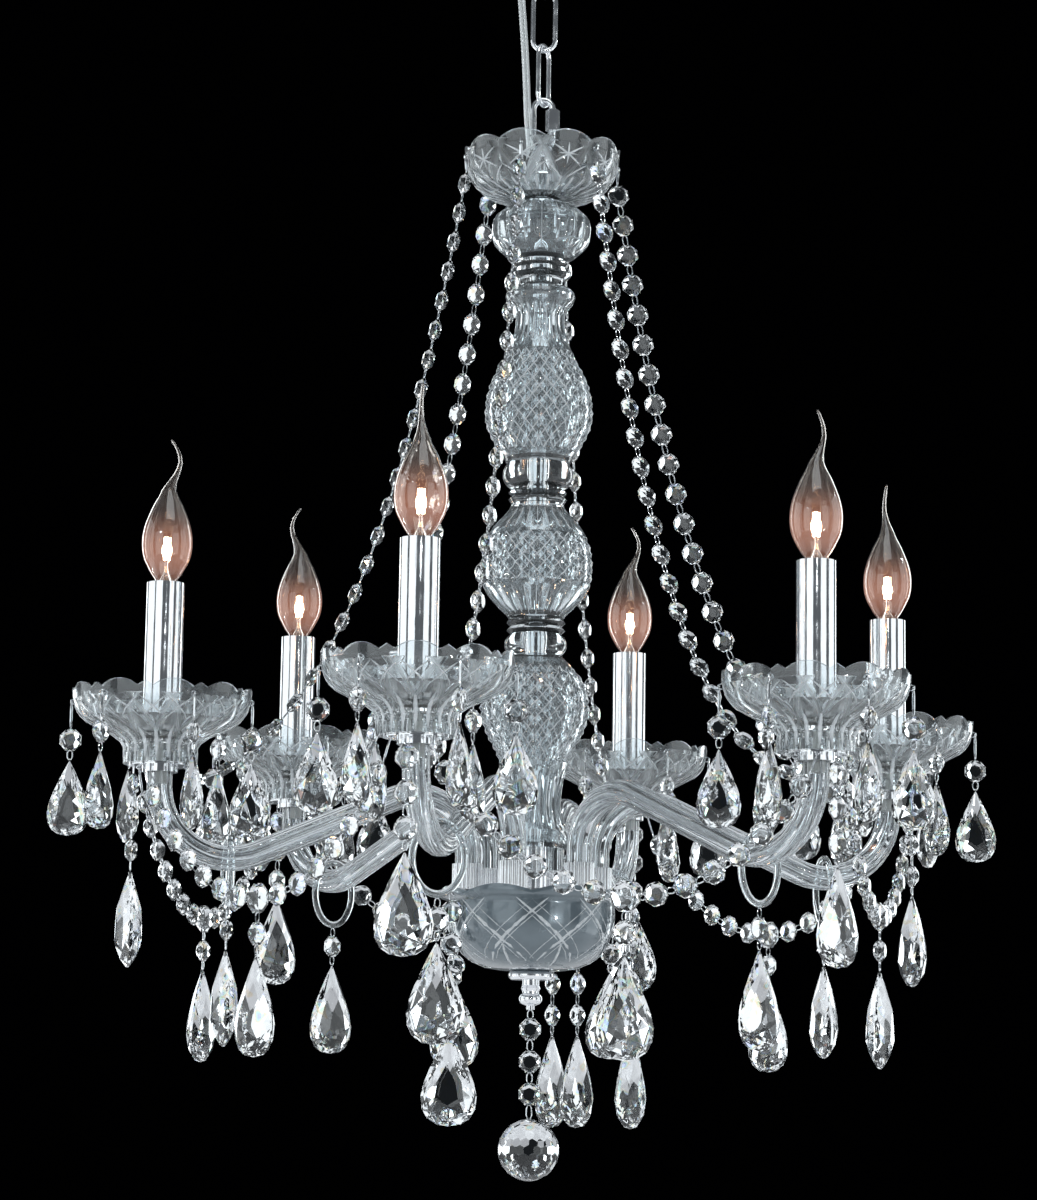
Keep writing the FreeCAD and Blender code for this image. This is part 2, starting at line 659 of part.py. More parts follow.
def make_crown():
    """The scalloped dish at the top of the column, whose rim carries the long strands."""
    radius, depth, wall = s.crown_radius, s.crown_depth, s.crown_wall
    floor, foot = s.crown_floor, s.crown_foot_radius
    hole = s.stem_radius + s.stem_clearance
    waist = depth - 1.6 * s.crown_lobe_rise
    corners = [(hole, 0), (foot, 0), (radius * 0.62, depth * 0.085), (radius * 0.965, depth * 0.66),
               (radius - 0.6, waist), (radius, depth), (radius - wall, depth),
               (radius - 0.6 - wall, waist), (radius * 0.965 - wall, depth * 0.67),
               (radius * 0.6, depth * 0.085 + wall), (foot, floor), (hole, floor)]
    blank = turned("crown_blank", corners, {2: 24, 8: -21})
    dish = body_on("crown_dish", blank)
    rim_scallops(dish, "crown_rim", radius, depth, s.crown_lobe_rise, s.crown_lobe_count)
    turn = number("crown_turn")
    drill_rim(dish, "crown", depth - s.crown_lobe_rise - s.rim_hole_depth, Size(6),
              lamp_angles()[0] - turn)
    dish.Placement = Placement(Vector(0, 0, FEET["crown"].value),
                               Rotation(Vector(0, 0, 1), turn))
    bind(dish, "Placement.Base.z", FEET["crown"])
    return dish


def column_piece(label, foot, stations, lobes):
    bore = number("stem_radius") + number("stem_clearance")
    solid = lobed_column(stations, lobes, bore)
    return show(label, solid, Placement(Vector(0, 0, float(foot)), Rotation()))


def make_melon():
    height, radius = number("melon_height"), number("melon_radius")
    depth = number("melon_lobe_depth")
    profile = ((0, 0.42, 0.1), (0.1, 0.7, 0.6), (0.3, 0.95, 1), (0.5, 1, 1), (0.7, 0.94, 1),
               (0.9, 0.66, 0.6), (1, 0.36, 0.1))
    stations = [(z * height, r * radius, d * depth) for z, r, d in profile]
    return column_piece("melon_ball", FEET["melon"], stations, count("melon_lobe_count"))


def make_upper_vase():
    """A rolled lip, a fluted neck and the pear-shaped body, which carries the diamond cutting."""
    height, body = number("upper_vase_height"), number("upper_vase_radius")
    lip, neck, depth = number("upper_vase_lip"), number("upper_vase_neck"), number("flute_depth")
    smooth = 0.02
    stations = [(0, 0.6 * body, smooth), (0.08 * height, 0.78 * body, smooth),
                (0.2 * height, 0.97 * body, smooth), (0.31 * height, body, smooth),
                (0.45 * height, 0.9 * body, smooth), (0.62 * height, 0.62 * body, smooth),
                (0.73 * height, neck + 1, depth), (0.82 * height, neck, depth),
                (0.88 * height, 0.85 * lip, depth), (0.94 * height, lip, smooth),
                (0.98 * height, 0.86 * lip, smooth), (height, 0.68 * lip, smooth)]
    return column_piece("upper_vase", FEET["upper_vase"], stations, count("flute_count"))


def make_middle_ball():
    height, body = number("middle_ball_height"), number("middle_ball_radius")
    depth, smooth = number("flute_depth"), 0.02
    stations = [(0, 0.5 * body, depth), (0.08 * height, 0.66 * body, depth),
                (0.2 * height, 0.87 * body, depth), (0.3 * height, 0.97 * body, smooth),
                (0.46 * height, body, smooth), (0.64 * height, 0.95 * body, smooth),
                (0.8 * height, 0.78 * body, depth), (0.93 * height, 0.55 * body, depth),
                (height, 0.47 * body, smooth)]
    return column_piece("middle_ball", FEET["middle_ball"], stations, count("flute_count"))


def make_lower_vase():
    """The diamond-cut body above a long fluted neck, which ends in a flange."""
    height, body = number("lower_vase_height"), number("lower_vase_radius")
    neck, flange = number("lower_vase_neck"), number("lower_vase_flange")
    depth, smooth = number("flute_depth"), 0.02
    stations = [(0, 0.92 * flange, smooth), (0.05 * height, flange, smooth),
                (0.1 * height, 0.86 * flange, depth), (0.2 * height, neck, depth),
                (0.34 * height, neck + 1.5, depth), (0.48 * height, 0.68 * body, smooth),
                (0.62 * height, 0.92 * body, smooth), (0.75 * height, body, smooth),
                (0.88 * height, 0.86 * body, smooth), (0.96 * height, 0.62 * body, smooth),
                (height, 0.48 * body, smooth)]
    return column_piece("lower_vase", FEET["lower_vase"], stations, count("flute_count"))


def make_collars():
    """Three turned collars: stepped discs and a rounded bead ring."""
    bore = s.stem_radius + s.stem_clearance
    end = s.collar_end_radius
    wide, tall = s.upper_collar_radius, s.upper_collar_height
    corners = [(bore, 0), (end - 3, 0), (end - 2, tall * 0.3), (wide, tall * 0.45),
               (wide, tall * 0.62), (wide - 2.5, tall * 0.7), (wide - 1, tall * 0.82),
               (end, tall), (bore, tall)]
    place_at_height(turned("upper_collar", corners), FEET["upper_collar"])
    wide, tall = s.middle_collar_radius, s.middle_collar_height
    corners = [(bore, 0), (end, 0), (end + 2, tall * 0.12), (end - 0.5, tall * 0.2),
               (end + 2, tall * 0.28), (end - 0.5, tall * 0.36), (wide - 3, tall * 0.44),
               (wide - 3, tall * 0.96), (end, tall), (bore, tall)]
    collar = turned("middle_collar", corners, {6: tall * 0.36})
    place_at_height(collar, FEET["middle_collar"])
    wide, tall = s.lower_collar_radius, s.lower_collar_height
    corners = [(bore, 0), (end - 1, 0), (wide - 2.5, tall * 0.06), (wide - 2.5, tall * 0.5),
               (end - 1, tall * 0.56), (end + 2, tall * 0.66), (end - 0.5, tall * 0.76),
               (end + 2, tall * 0.86), (end, tall), (bore, tall)]
    collar = turned("lower_collar", corners, {2: tall * 0.29})
    place_at_height(collar, FEET["lower_collar"])


def make_spacer():
    """The tube between the lowest vase and the arm plate."""
    outer = doc.addObject("Part::Cylinder", "spacer_outer")
    bore = doc.addObject("Part::Cylinder", "spacer_bore")
    bind(outer, "Radius", s.spacer_radius)
    bind(bore, "Radius", s.stem_radius + s.stem_clearance)
    for tube in (outer, bore):
        bind(tube, "Height", s.vase_to_plate)
    cut = doc.addObject("Part::Cut", "stem_spacer")
    cut.Base, cut.Tool = outer, bore
    cut.Label = "stem_spacer"
    place_at_height(cut, FEET["plate"] + s.plate_thickness)


# Hub and bowl

def make_plate():
    """The arm plate with its six fluted ferrules."""
    foot = FEET["plate"].value
    thickness = number("plate_thickness")
    plate = Part.makeCylinder(number("plate_radius"), thickness, Vector(0, 0, foot))
    top = foot + thickness
    height = number("ferrule_height")
    ring = lobed_ring(number("ferrule_radius"), number("ferrule_flute_depth"),
                      count("ferrule_flute_count"))
    ferrule = Part.Face(ring).extrude(Vector(0, 0, height))
    seat = Part.makeCylinder(number("arm_radius") + number("arm_fit_clearance"), height)
    ferrule = ferrule.cut(seat)
    ferrules = []
    wire_holes = []
    for angle in lamp_angles():
        place = polar(number("ferrule_circle_radius"), angle, top)
        copy = ferrule.copy()
        copy.translate(place)
        ferrules.append(copy)
        wire_holes.append(Part.makeCylinder(number("arm_bore_radius"), thickness + 2,
                                            place - Vector(0, 0, thickness + 1)))
    bore = Part.makeCylinder(number("stem_radius") + number("stem_clearance"), thickness + 2,
                             Vector(0, 0, foot - 1))
    return show("arm_plate", plate.cut(wire_holes + [bore]).fuse(ferrules))


def make_bowl():
    """The silvered bowl: a rolled belly, a ledge for the plate and a waved rim round it."""
    height, wall = s.bowl_height, s.bowl_wall
    rim, neck, belly = s.bowl_rim_radius, s.bowl_neck_radius, s.bowl_belly_radius
    hole = s.stem_radius + s.stem_clearance
    inside = s.plate_radius + 0.3
    top = height + s.bowl_rim_rise
    corners = [(hole, 0), (belly * 0.45, 0), (belly * 0.68, height * 0.06),
               (belly * 0.87, height * 0.23), (belly, height * 0.58), (neck, height * 0.9),
               (rim - 0.6, height - 1.5), (rim, top), (inside, top), (inside, height),
               (neck - wall, height), (neck - wall, height * 0.9), (belly - wall, height * 0.58),
               (belly * 0.85 - wall, height * 0.26), (belly * 0.66, height * 0.06 + wall),
               (belly * 0.45, wall), (hole, wall)]
    arcs = {2: 20, 3: 24, 4: 22, 11: -20, 12: -21, 13: -18}
    bowl = body_on("bottom_bowl", turned("bowl_blank", corners, arcs))
    rim_scallops(bowl, "bowl_rim", rim, top, s.bowl_wave_depth, s.bowl_wave_count)
    place_at_height(bowl, FEET["bowl"])
    return bowl


def make_cap():
    """The turned cap that screws on the stem's end and carries the lowest beads."""
    tall, disc, neck = s.cap_height, s.cap_disc_radius, s.cap_neck_radius
    knob, tip = s.cap_knob_radius, s.cap_tip_radius
    disc_foot = tall - s.cap_disc_height
    bore = s.stem_radius
    corners = [(0, 0), (tip, 0), (tip, tall * 0.1), (knob - 2, tall * 0.14),
               (knob - 2, tall * 0.42), (neck, tall * 0.47), (neck + 1, tall * 0.55),
               (neck, tall * 0.63), (neck, disc_foot), (disc - 2, disc_foot), (disc - 2, tall),
               (bore, tall), (bore, tall - s.cap_screw_length), (0, tall - s.cap_screw_length)]
    cap = turned("bottom_cap", corners, {3: tall * 0.155, 9: s.cap_disc_height * 0.55})
    place_at_height(cap, FEET["cap"])


# Arms and lamps

def arm_path():
    """The arm's middle line in the XZ plane: up from the plate, over, down, out and up again."""
    start_x, end_x = number("ferrule_circle_radius"), number("lamp_circle_radius")
    foot = (FEET["plate"] + s.plate_thickness).value
    end = FEET["cup"].value
    arch, bend = number("arch_radius"), number("bend_radius")
    arch_centre = Vector(start_x + arch, 0, foot + number("arch_top_rise") - arch)
    bend_centre = Vector(end_x - bend, 0, end - number("arm_end_rise"))
    between = bend_centre - arch_centre
    lean = math.atan2(between.z, between.x) - math.asin((arch + bend) / between.Length)
    normal = Vector(-math.sin(lean), 0, math.cos(lean))
    leave = arch_centre + normal * arch
    meet = bend_centre - normal * bend

    def on(centre, radius, angle):
        return centre + Vector(math.cos(angle), 0, math.sin(angle)) * radius

    arch_middle = on(arch_centre, arch, (math.pi + lean + math.pi / 2) / 2)
    bend_middle = on(bend_centre, bend, (lean - math.pi / 2) / 2)
    arch_start = Vector(start_x, 0, arch_centre.z)
    bend_end = Vector(end_x, 0, bend_centre.z)
    return Part.Wire([
        Part.LineSegment(Vector(start_x, 0, foot), arch_start).toShape(),
        Part.Arc(arch_start, arch_middle, leave).toShape(),
        Part.LineSegment(leave, meet).toShape(),
        Part.Arc(meet, bend_middle, bend_end).toShape(),
        Part.LineSegment(bend_end, Vector(end_x, 0, end)).toShape(),
    ])


def make_arms():
    """Six ribbed glass arms with a wire way through them."""
    path = arm_path()
    foot = path.Vertexes[0].Point
    ribs = lobed_ring(number("arm_radius"), number("arm_rib_depth"), count("arm_rib_count"))
    ribs.translate(foot)
    way = Part.Wire([Part.Circle(foot, Vector(0, 0, 1), number("arm_bore_radius")).toShape()])
    outer = path.makePipeShell([ribs], True, True)
    inner = path.makePipeShell([way], True, True)
    end = FEET["cup"].value
    depth = number("nipple_seat_depth") + 1
    seat = Part.makeCylinder(number("nipple_radius") + number("nipple_clearance"), depth,
                             Vector(number("lamp_circle_radius"), 0, end - depth))
    arm = outer.cut(inner.fuse(seat))
    for lamp, angle in enumerate(lamp_angles(), 1):
        turned_copy(f"glass_arm_{lamp}", arm, angle)


def lamp_group(label, shape, foot):
    """Six copies of one piece, each on its own lamp's axis."""
    copies = []
    for angle in lamp_angles():
        copy = shape.copy()
        copy.rotate(Vector(0, 0, 0), Vector(0, 0, 1), angle)
        copy.translate(polar(number("lamp_circle_radius"), angle, float(foot)))
        copies.append(copy)
    return show(label, Part.makeCompound(copies))


def make_pin_plates():
    """The metal plate under each dish: a skirt round the arm's end and holes for hooks."""
    thickness = number("pin_plate_thickness")
    skirt = number("pin_skirt_height")
    plate = Part.makeCylinder(number("pin_plate_radius"), thickness)
    rim = Part.makeCylinder(number("pin_skirt_radius"), skirt, Vector(0, 0, -skirt))
    arm = Part.makeCylinder(number("arm_radius") + number("arm_fit_clearance"), skirt,
                            Vector(0, 0, -skirt))
    bore = Part.makeCylinder(number("nipple_radius") + number("nipple_clearance"), thickness)
    holes = []
    pins = count("pin_hole_count")
    for pin in range(pins):
        place = polar(number("pin_circle_radius"), pin * 360 / pins, 0)
        holes.append(Part.makeCylinder(number("pin_hole_radius"), thickness, place))
    shape = plate.fuse(rim).cut([arm, bore] + holes)
    return lamp_group("pin_plates", shape, FEET["cup"])


def make_dishes():
    """The scalloped dishes. One is turned and cut, and the others are its copies."""
    radius, tall, wall = s.dish_radius, s.dish_height, s.dish_wall
    foot, floor = s.dish_foot_radius, s.dish_floor_height
    hole = s.nipple_radius + s.nipple_clearance
    under = floor - s.dish_floor
    inner = foot - s.dish_foot_width
    waist = tall - s.dish_lobe_rise * 1.3
    corners = [(inner, 0), (foot, 0), (foot, tall * 0.13), (foot - 1.5, tall * 0.16),
               (foot + 1.5, tall * 0.28), (radius * 0.64, tall * 0.42),
               (radius * 0.83, tall * 0.54), (radius * 0.95, tall * 0.7), (radius - 0.4, waist),
               (radius, tall), (radius - wall, tall), (radius - 0.4 - wall, waist),
               (radius * 0.95 - wall, tall * 0.73), (radius * 0.8, tall * 0.6),
               (radius * 0.55, floor + 1.5), (radius * 0.4, floor), (hole, floor), (hole, under),
               (inner - 3, under), (inner, under - 4)]
    arcs = {4: -26, 6: 22, 7: 30, 11: -30, 12: -24}
    dish = body_on("bobeche_1", turned("dish_blank", corners, arcs))
    half = radius * math.pi / s.dish_lobe_count
    rise, peak = s.dish_lobe_rise, s.dish_peak_rise
    valley = half * 0.27
    crest, above = tall + s.crest_trim, tall + 2
    climb = rise + s.crest_trim
    notch = [(0, tall - rise + peak), (valley, tall - rise), (half, crest), (half, above),
             (-half, above), (-half, crest), (-valley, tall - rise)]
    arc = (half - valley) * (half - valley) / climb / 2 + climb / 2
    cut_rim(dish, "dish_rim", notch, s.dish_lobe_count, {1: -arc, 5: -arc})
    drill_rim(dish, "dish", tall - rise - s.rim_hole_depth, s.rim_drop_count,
              number("rim_drop_turn"))
    return dish


def place_dishes(dish):
    """Put the first dish on its lamp's axis and copy it to the others."""
    radius, angles = number("lamp_circle_radius"), lamp_angles()
    height = (FEET["cup"] + s.pin_plate_thickness).value
    for lamp, angle in enumerate(angles[1:], 2):
        copy = dish.Tip.Shape.copy()
        copy.Placement = Placement()
        place = polar(radius, angle, height)
        show(f"bobeche_{lamp}", copy, Placement(place, Rotation(Vector(0, 0, 1), angle)))
    turn = Rotation(Vector(0, 0, 1), angles[0])
    dish.Placement = Placement(polar(radius, angles[0], height), turn)
    aim = "Sizes.lamp_circle_radius * {}(Sizes.first_lamp_angle * 1deg)"
    bind(dish, "Placement.Base.x", Size(dish.Placement.Base.x, aim.format("cos")))
    bind(dish, "Placement.Base.y", Size(dish.Placement.Base.y, aim.format("sin")))
    bind(dish, "Placement.Base.z", FEET["cup"] + s.pin_plate_thickness)


def make_holders():
    """A nipple that clamps arm, plate and dish, with the lamp holder on top of it."""
    floor = number("dish_floor_height") + number("pin_plate_thickness")
    nipple_foot = -number("nipple_seat_depth")
    top = floor + number("sleeve_length") - 2
    body_foot = top - number("holder_height")
    nipple = Part.makeCylinder(number("nipple_radius"), body_foot - nipple_foot,
                               Vector(0, 0, nipple_foot))
    flange = Part.makeCylinder(number("holder_flange_radius"), number("holder_flange_height"),
                               Vector(0, 0, floor))
    body = Part.makeCylinder(number("holder_radius"), number("holder_height"),
                             Vector(0, 0, body_foot))
    depth = number("holder_bore_depth")
    bore = Part.makeCylinder(number("holder_bore_radius"), depth, Vector(0, 0, top - depth))
    way = Part.makeCylinder(number("arm_bore_radius") - 0.5, top - depth - 4 - nipple_foot,
                            Vector(0, 0, nipple_foot))
    shape = nipple.fuse([flange, body]).cut([bore, way]).removeSplitter()
    return lamp_group("lamp_holders", shape, FEET["cup"])


def make_sleeves():
    """The candle sleeves, which stand on the dishes' floors round the lamp holders."""
    radius, wall, length = number("sleeve_radius"), number("sleeve_wall"), number("sleeve_length")
    tube = Part.makeCylinder(radius, length).cut(Part.makeCylinder(radius - wall, length))
    lip = Part.makeCylinder(radius, wall).cut(Part.makeCylinder(radius - 3, wall))
    lip.translate(Vector(0, 0, length - wall))
    foot = FEET["cup"] + s.pin_plate_thickness + s.dish_floor_height
    return lamp_group("candle_sleeves", tube.fuse(lip).removeSplitter(), foot)


def bulb_shape():
    """A flame-tip bulb: screw cap, pear-shaped glass and its bent tail, from the sleeve's top."""
    screw, length = number("bulb_screw_radius"), number("bulb_screw_length")
    neck, belly = number("bulb_neck_radius"), number("bulb_radius")
    belly_z, shoulder_z = number("bulb_belly_height"), number("bulb_shoulder_height")
    rings = [(-length, screw * 0.5), (-length + 3, screw)]
    cap = Part.makeCone(rings[0][1], rings[1][1], 3, Vector(0, 0, rings[0][0]))
    barrel = Part.makeCylinder(screw, length - 3, Vector(0, 0, rings[1][0]))
    stations = [(0, neck), (0.22 * belly_z, 0.62 * belly), (0.6 * belly_z, 0.92 * belly),
                (belly_z, belly), (0.62 * shoulder_z, 0.9 * belly),
                (0.82 * shoulder_z, 0.62 * belly), (shoulder_z, 0.3 * belly)]
    profile = Part.BSplineCurve()
    profile.interpolate([Vector(r, 0, z) for z, r in stations])
    side = profile.toShape()
    top_z = shoulder_z
    edges = [side, Part.LineSegment(Vector(0.3 * belly, 0, top_z), Vector(0, 0, top_z)).toShape(),
             Part.LineSegment(Vector(0, 0, top_z), Vector(0, 0, 0)).toShape(),
             Part.LineSegment(Vector(0, 0, 0), Vector(neck, 0, 0)).toShape()]
    glass = Part.Face(Part.Wire(edges)).revolve(Vector(0, 0, 0), Vector(0, 0, 1), 360)
    tip, reach = number("bulb_tip_height"), number("bulb_tail_reach")
    rise = tip - shoulder_z
    tail = [(0, 0, 0.3 * belly), (0.3, 0.62, 2.2), (0.55, 1, 1.4), (0.8, 0.7, 1.1),
            (1, 0.15, 0.9)]
    circles = [Part.Wire([Part.Circle(Vector(x * reach, 0, shoulder_z + z * rise),
                                      Vector(0, 0, 1), r).toShape()]) for z, x, r in tail]
    return glass.fuse([cap, barrel, Part.makeLoft(circles, True)])


def make_bulbs():
    bulb = bulb_shape()
    foot = FEET["cup"] + s.pin_plate_thickness + s.dish_floor_height + s.sleeve_length
    height = (foot + s.bulb_lift).value
    for lamp, (angle, turn) in enumerate(zip(lamp_angles(), TAIL_TURNS), 1):
        place = polar(number("lamp_circle_radius"), angle, height)
        show(f"bulb_{lamp}", bulb.copy(), Placement(place, Rotation(Vector(0, 0, 1), turn)))


# Crystals

class Chain:
    """Beads and hook wires that follow one another along a line."""

    def __init__(self):
        self.pieces = []
        self.bead = octagon_bead(number("bead_radius"), number("bead_half_depth"))
        self.big_bead = octagon_bead(number("big_bead_radius"), number("big_bead_half_depth"))

    def add_bead(self, middle, along, facing, bead=None):
        """A bead whose holes lie along the line and whose point faces the given way."""
        along = Vector(along).normalize()
        facing = (facing - along * facing.dot(along)).normalize()
        across = facing.cross(along)
        self.pieces.append(moved(bead or self.bead, across, facing, along, middle))

    def add_wire(self, start, end, across):
        self.pieces.append(wire_bar(start, end, across))

    def hook_rim(self, inside, outside):
        """The level end of a hook, which goes through a hole in a rim."""
        depth = (outside - inside).normalize() * (number("wire_depth") / 2)
        self.pieces.append(wire_bar(inside, outside + depth, Vector(0, 0, 1)))

    def add_pin(self, place):
        """The end of a hook that goes up through the pin plate. It gives the pin's foot."""
        foot = place - Vector(0, 0, number("wire_width") / 2)
        self.pieces.append(wire_bar(foot, place + Vector(0, 0, number("pin_plate_thickness"))))
        return foot

    def hang_down(self, top, beads, pitch, facing, hook):
        """A plumb run of beads under a point. It gives the point under the last one."""
        radius = number("bead_radius")
        across = facing.cross(Vector(0, 0, 1))
        here = top
        first = hook
        for _ in range(beads):
            start = here - Vector(0, 0, first)
            self.add_wire(here, start, across)
            middle = start - Vector(0, 0, radius)
            self.add_bead(middle, Vector(0, 0, -1), facing)
            here = middle - Vector(0, 0, radius)
            first = pitch - 2 * radius
        return here

    def add_drop(self, top, drop, facing, hook):
        """A drop on its hook wire, its face turned the given way. It gives the drop's foot."""
        across = facing.cross(Vector(0, 0, 1))
        start = top - Vector(0, 0, hook)
        self.add_wire(top, start, across)
        self.pieces.append(moved(drop, across, facing, Vector(0, 0, 1), start))

    def follow(self, places, facings):
        """Beads at the places, joined by wires that run from hole to hole."""
        radius = number("bead_radius")
        ends = []
        for index, (place, facing) in enumerate(zip(places, facings)):
            before = places[max(index - 1, 0)]
            after = places[min(index + 1, len(places) - 1)]
            along = (after - before).normalize()
            self.add_bead(place, along, facing)
            ends.append((place - along * radius, place + along * radius))
        for (_, start), (end, _), facing in zip(ends, ends[1:], facings):
            self.add_wire(start, end, facing.cross(end - start))
        return ends[0][0], ends[-1][1]


def catenary(start, end, stretch):
    """The hanging curve z = base + stretch cosh((x - low) / stretch) between two points."""
    def climb(low):
        return stretch * (math.cosh((end[0] - low) / stretch)
                          - math.cosh((start[0] - low) / stretch))
    near, far = min(start[0], end[0]) - 20 * stretch, max(start[0], end[0]) + 20 * stretch
    for _ in range(80):
        low = (near + far) / 2
        if climb(low) > end[1] - start[1]:
            near = low
        else:
            far = low
    base = end[1] - stretch * math.cosh((end[0] - low) / stretch)
    return low, base


def along_catenary(start, end, stretch, places):
    """Points spaced evenly along the hanging curve, both of its ends among them."""
    low, base = catenary(start, end, stretch)
    first = stretch * math.sinh((start[0] - low) / stretch)
    last = stretch * math.sinh((end[0] - low) / stretch)
    points = []
    for place in range(places):
        run = first + (last - first) * place / (places - 1)
        x = low + stretch * math.asinh(run / stretch)
        points.append((x, base + stretch * math.cosh((x - low) / stretch)))
    return points


def make_strands():
    """The six long strands from the crown to the lamps and the six swags between them."""
    chain = Chain()
    hook = number("drop_hook")
    pin = number("pin_circle_radius")
    cup = FEET["cup"].value
    lamp_radius = number("lamp_circle_radius")
    top = (FEET["crown"] + s.crown_depth - s.crown_lobe_rise - s.rim_hole_depth).value
    beads = count("strand_bead_count")
    bead = number("bead_radius")
    rim = number("crown_radius") + 1
    for angle, turn in zip(lamp_angles(), STRAND_TURNS):
        start = (rim, top - number("strand_hook") - bead)
        end = (lamp_radius - pin - bead, cup - hook - bead / 2)
        line = along_catenary(start, end, number("strand_sag_factor"), beads)
        places = [polar(r, angle, z) for r, z in line]
        side = Rotation(Vector(0, 0, 1), turn).multVec(polar(1, angle, 0))
        first, last = chain.follow(places, [side] * beads)
        chain.hook_rim(polar(rim - number("crown_wall") - 2, angle, top),
                       polar(rim, angle, top))
        chain.add_wire(polar(rim, angle, top), first, side.cross(Vector(0, 0, 1)))
        chain.add_wire(last, chain.add_pin(polar(lamp_radius - pin, angle, cup)), side)
    make_swags(chain)
    return show("bead_strands", Part.makeCompound(chain.pieces))


def swag_ends():
    """Radius from the column and half the angle between the two hooks of one swag."""
    pin, hook_angle = number("pin_circle_radius"), math.radians(number("swag_hook_angle"))
    out = number("lamp_circle_radius") + pin * math.cos(hook_angle)
    aside = pin * math.sin(hook_angle)
    radius = math.hypot(out, aside)
    half = math.radians(number("lamp_spread")) / 2 - math.atan2(aside, out)
    return radius, half


def swag_line():
    """The swag in its own plane: half its span, its stretch and the height of its hooks."""
    radius, half = swag_ends()
    span = radius * math.sin(half)
    sag = number("swag_sag")
    near, far = 1.0, 100 * span
    for _ in range(80):
        stretch = (near + far) / 2
        if stretch * (math.cosh(span / stretch) - 1) > sag:
            near = stretch
        else:
            far = stretch
    return span, stretch, radius * math.cos(half)


def make_swags(chain):
    span, stretch, distance = swag_line()
    cup, hook, bead = FEET["cup"].value, number("drop_hook"), number("bead_radius")
    beads = count("swag_bead_count")
    top = cup - hook
    line = along_catenary((-span, top), (span, top), stretch, beads + 2)[1:-1]
    for angle in lamp_angles():
        middle = angle + number("lamp_spread") / 2
        out = polar(1, middle, 0)
        along = Vector(-out.y, out.x, 0)
        places = [out * distance + along * x + Vector(0, 0, z) for x, z in line]
        centre = beads // 2
        halves = (places[:centre], places[centre + 1:])
        ends = [chain.follow(half, [out] * len(half)) for half in halves]
        chain.add_bead(places[centre], along, out, chain.big_bead)
        big = number("big_bead_radius")
        chain.add_wire(ends[0][1], places[centre] - along * big, Vector(0, 0, 1))
        chain.add_wire(places[centre] + along * big, ends[1][0], Vector(0, 0, 1))
        for end, side in ((ends[0][0], -1), (ends[1][1], 1)):
            high = out * distance + along * (side * span) + Vector(0, 0, cup)
            chain.add_wire(chain.add_pin(high), end, out)


def drop_shapes():
    large = pear_drop(number("large_drop_length"), number("large_drop_width"),
                      number("large_drop_depth"))
    small = pear_drop(number("small_drop_length"), number("small_drop_width"),
                      number("small_drop_depth"))
    return large, small


def make_lamp_drops(drop):
    """The bead chain with its drop on the outer side of each lamp's pin plate."""
    radius = number("lamp_circle_radius") + number("pin_circle_radius")
    for lamp, angle in enumerate(lamp_angles(), 1):
        chain = Chain()
        facing = polar(1, angle, 0)
        top = polar(radius, angle, FEET["cup"].value - number("swing_gap"))
        foot = chain.hang_down(top, count("cup_chain_bead_count"), number("chain_pitch"), facing,
                               number("drop_hook"))
        chain.add_drop(foot, drop, facing, number("drop_hook"))
        show(f"lamp_drop_{lamp}", Part.makeCompound(chain.pieces))


def ring_foot():
    """The height of the tip of the glass rings, which hang on the arms' lowest bends."""
    bend_centre = FEET["cup"].value - number("arm_end_rise")
    bend, arm = number("bend_radius"), number("arm_radius")
    offset = number("ring_place_radius") - (number("lamp_circle_radius") - bend)
    middle = bend_centre - math.sqrt(bend * bend - offset * offset)
    return middle + arm + number("contact_gap") * 4 - number("ring_height")


def ring_shape():
    """A teardrop-shaped glass ring in the YZ plane, its tip at the origin."""
    wire, half = number("ring_wire_radius"), number("ring_half_width")
    tip = number("ring_tip_radius")
    inner_top = number("ring_height")
    centre_z = inner_top + wire - half
    tip_z = wire + tip - wire
    between = centre_z - tip_z
    lean = math.acos((half - tip) / between)
    side = Vector(0, math.sin(lean), -math.cos(lean))
    tip_side = Vector(0, side.y, side.z) * tip + Vector(0, 0, tip_z)
    arch_side = Vector(0, side.y, side.z) * half + Vector(0, 0, centre_z)
    mirror = [Vector(0, -p.y, p.z) for p in (tip_side, arch_side)]
    path = Part.Wire([
        Part.Arc(arch_side, Vector(0, 0, centre_z + half), mirror[1]).toShape(),
        Part.LineSegment(mirror[1], mirror[0]).toShape(),
        Part.Arc(mirror[0], Vector(0, 0, tip_z - tip), tip_side).toShape(),
        Part.LineSegment(tip_side, arch_side).toShape(),
    ])
    start = path.Vertexes[0].Point
    tangent = Vector(0, math.cos(lean), math.sin(lean))
    section = Part.Wire([Part.Circle(start, tangent, wire).toShape()])
    return path.makePipeShell([section], True, True)


def make_rings():
    ring = ring_shape()
    rings = []
    foot = ring_foot() + number("ring_wire_radius")
    for angle in lamp_angles():
        copy = ring.copy()
        copy.rotate(Vector(0, 0, 0), Vector(0, 0, 1), angle)
        copy.translate(polar(number("ring_place_radius"), angle, foot))
        rings.append(copy)
    return show("arm_rings", Part.makeCompound(rings))


def make_arm_drops(drop):
    """One bead and a large drop under the tip of each glass ring."""
    top_z = ring_foot() - number("swing_gap")
    for lamp, angle in enumerate(lamp_angles(), 1):
        chain = Chain()
        facing = polar(1, angle, 0)
        top = polar(number("ring_place_radius"), angle, top_z)
        foot = chain.hang_down(top, 1, number("chain_pitch"), facing, number("drop_hook"))
        chain.add_drop(foot, drop, facing, number("drop_hook"))
        show(f"arm_drop_{lamp}", Part.makeCompound(chain.pieces))


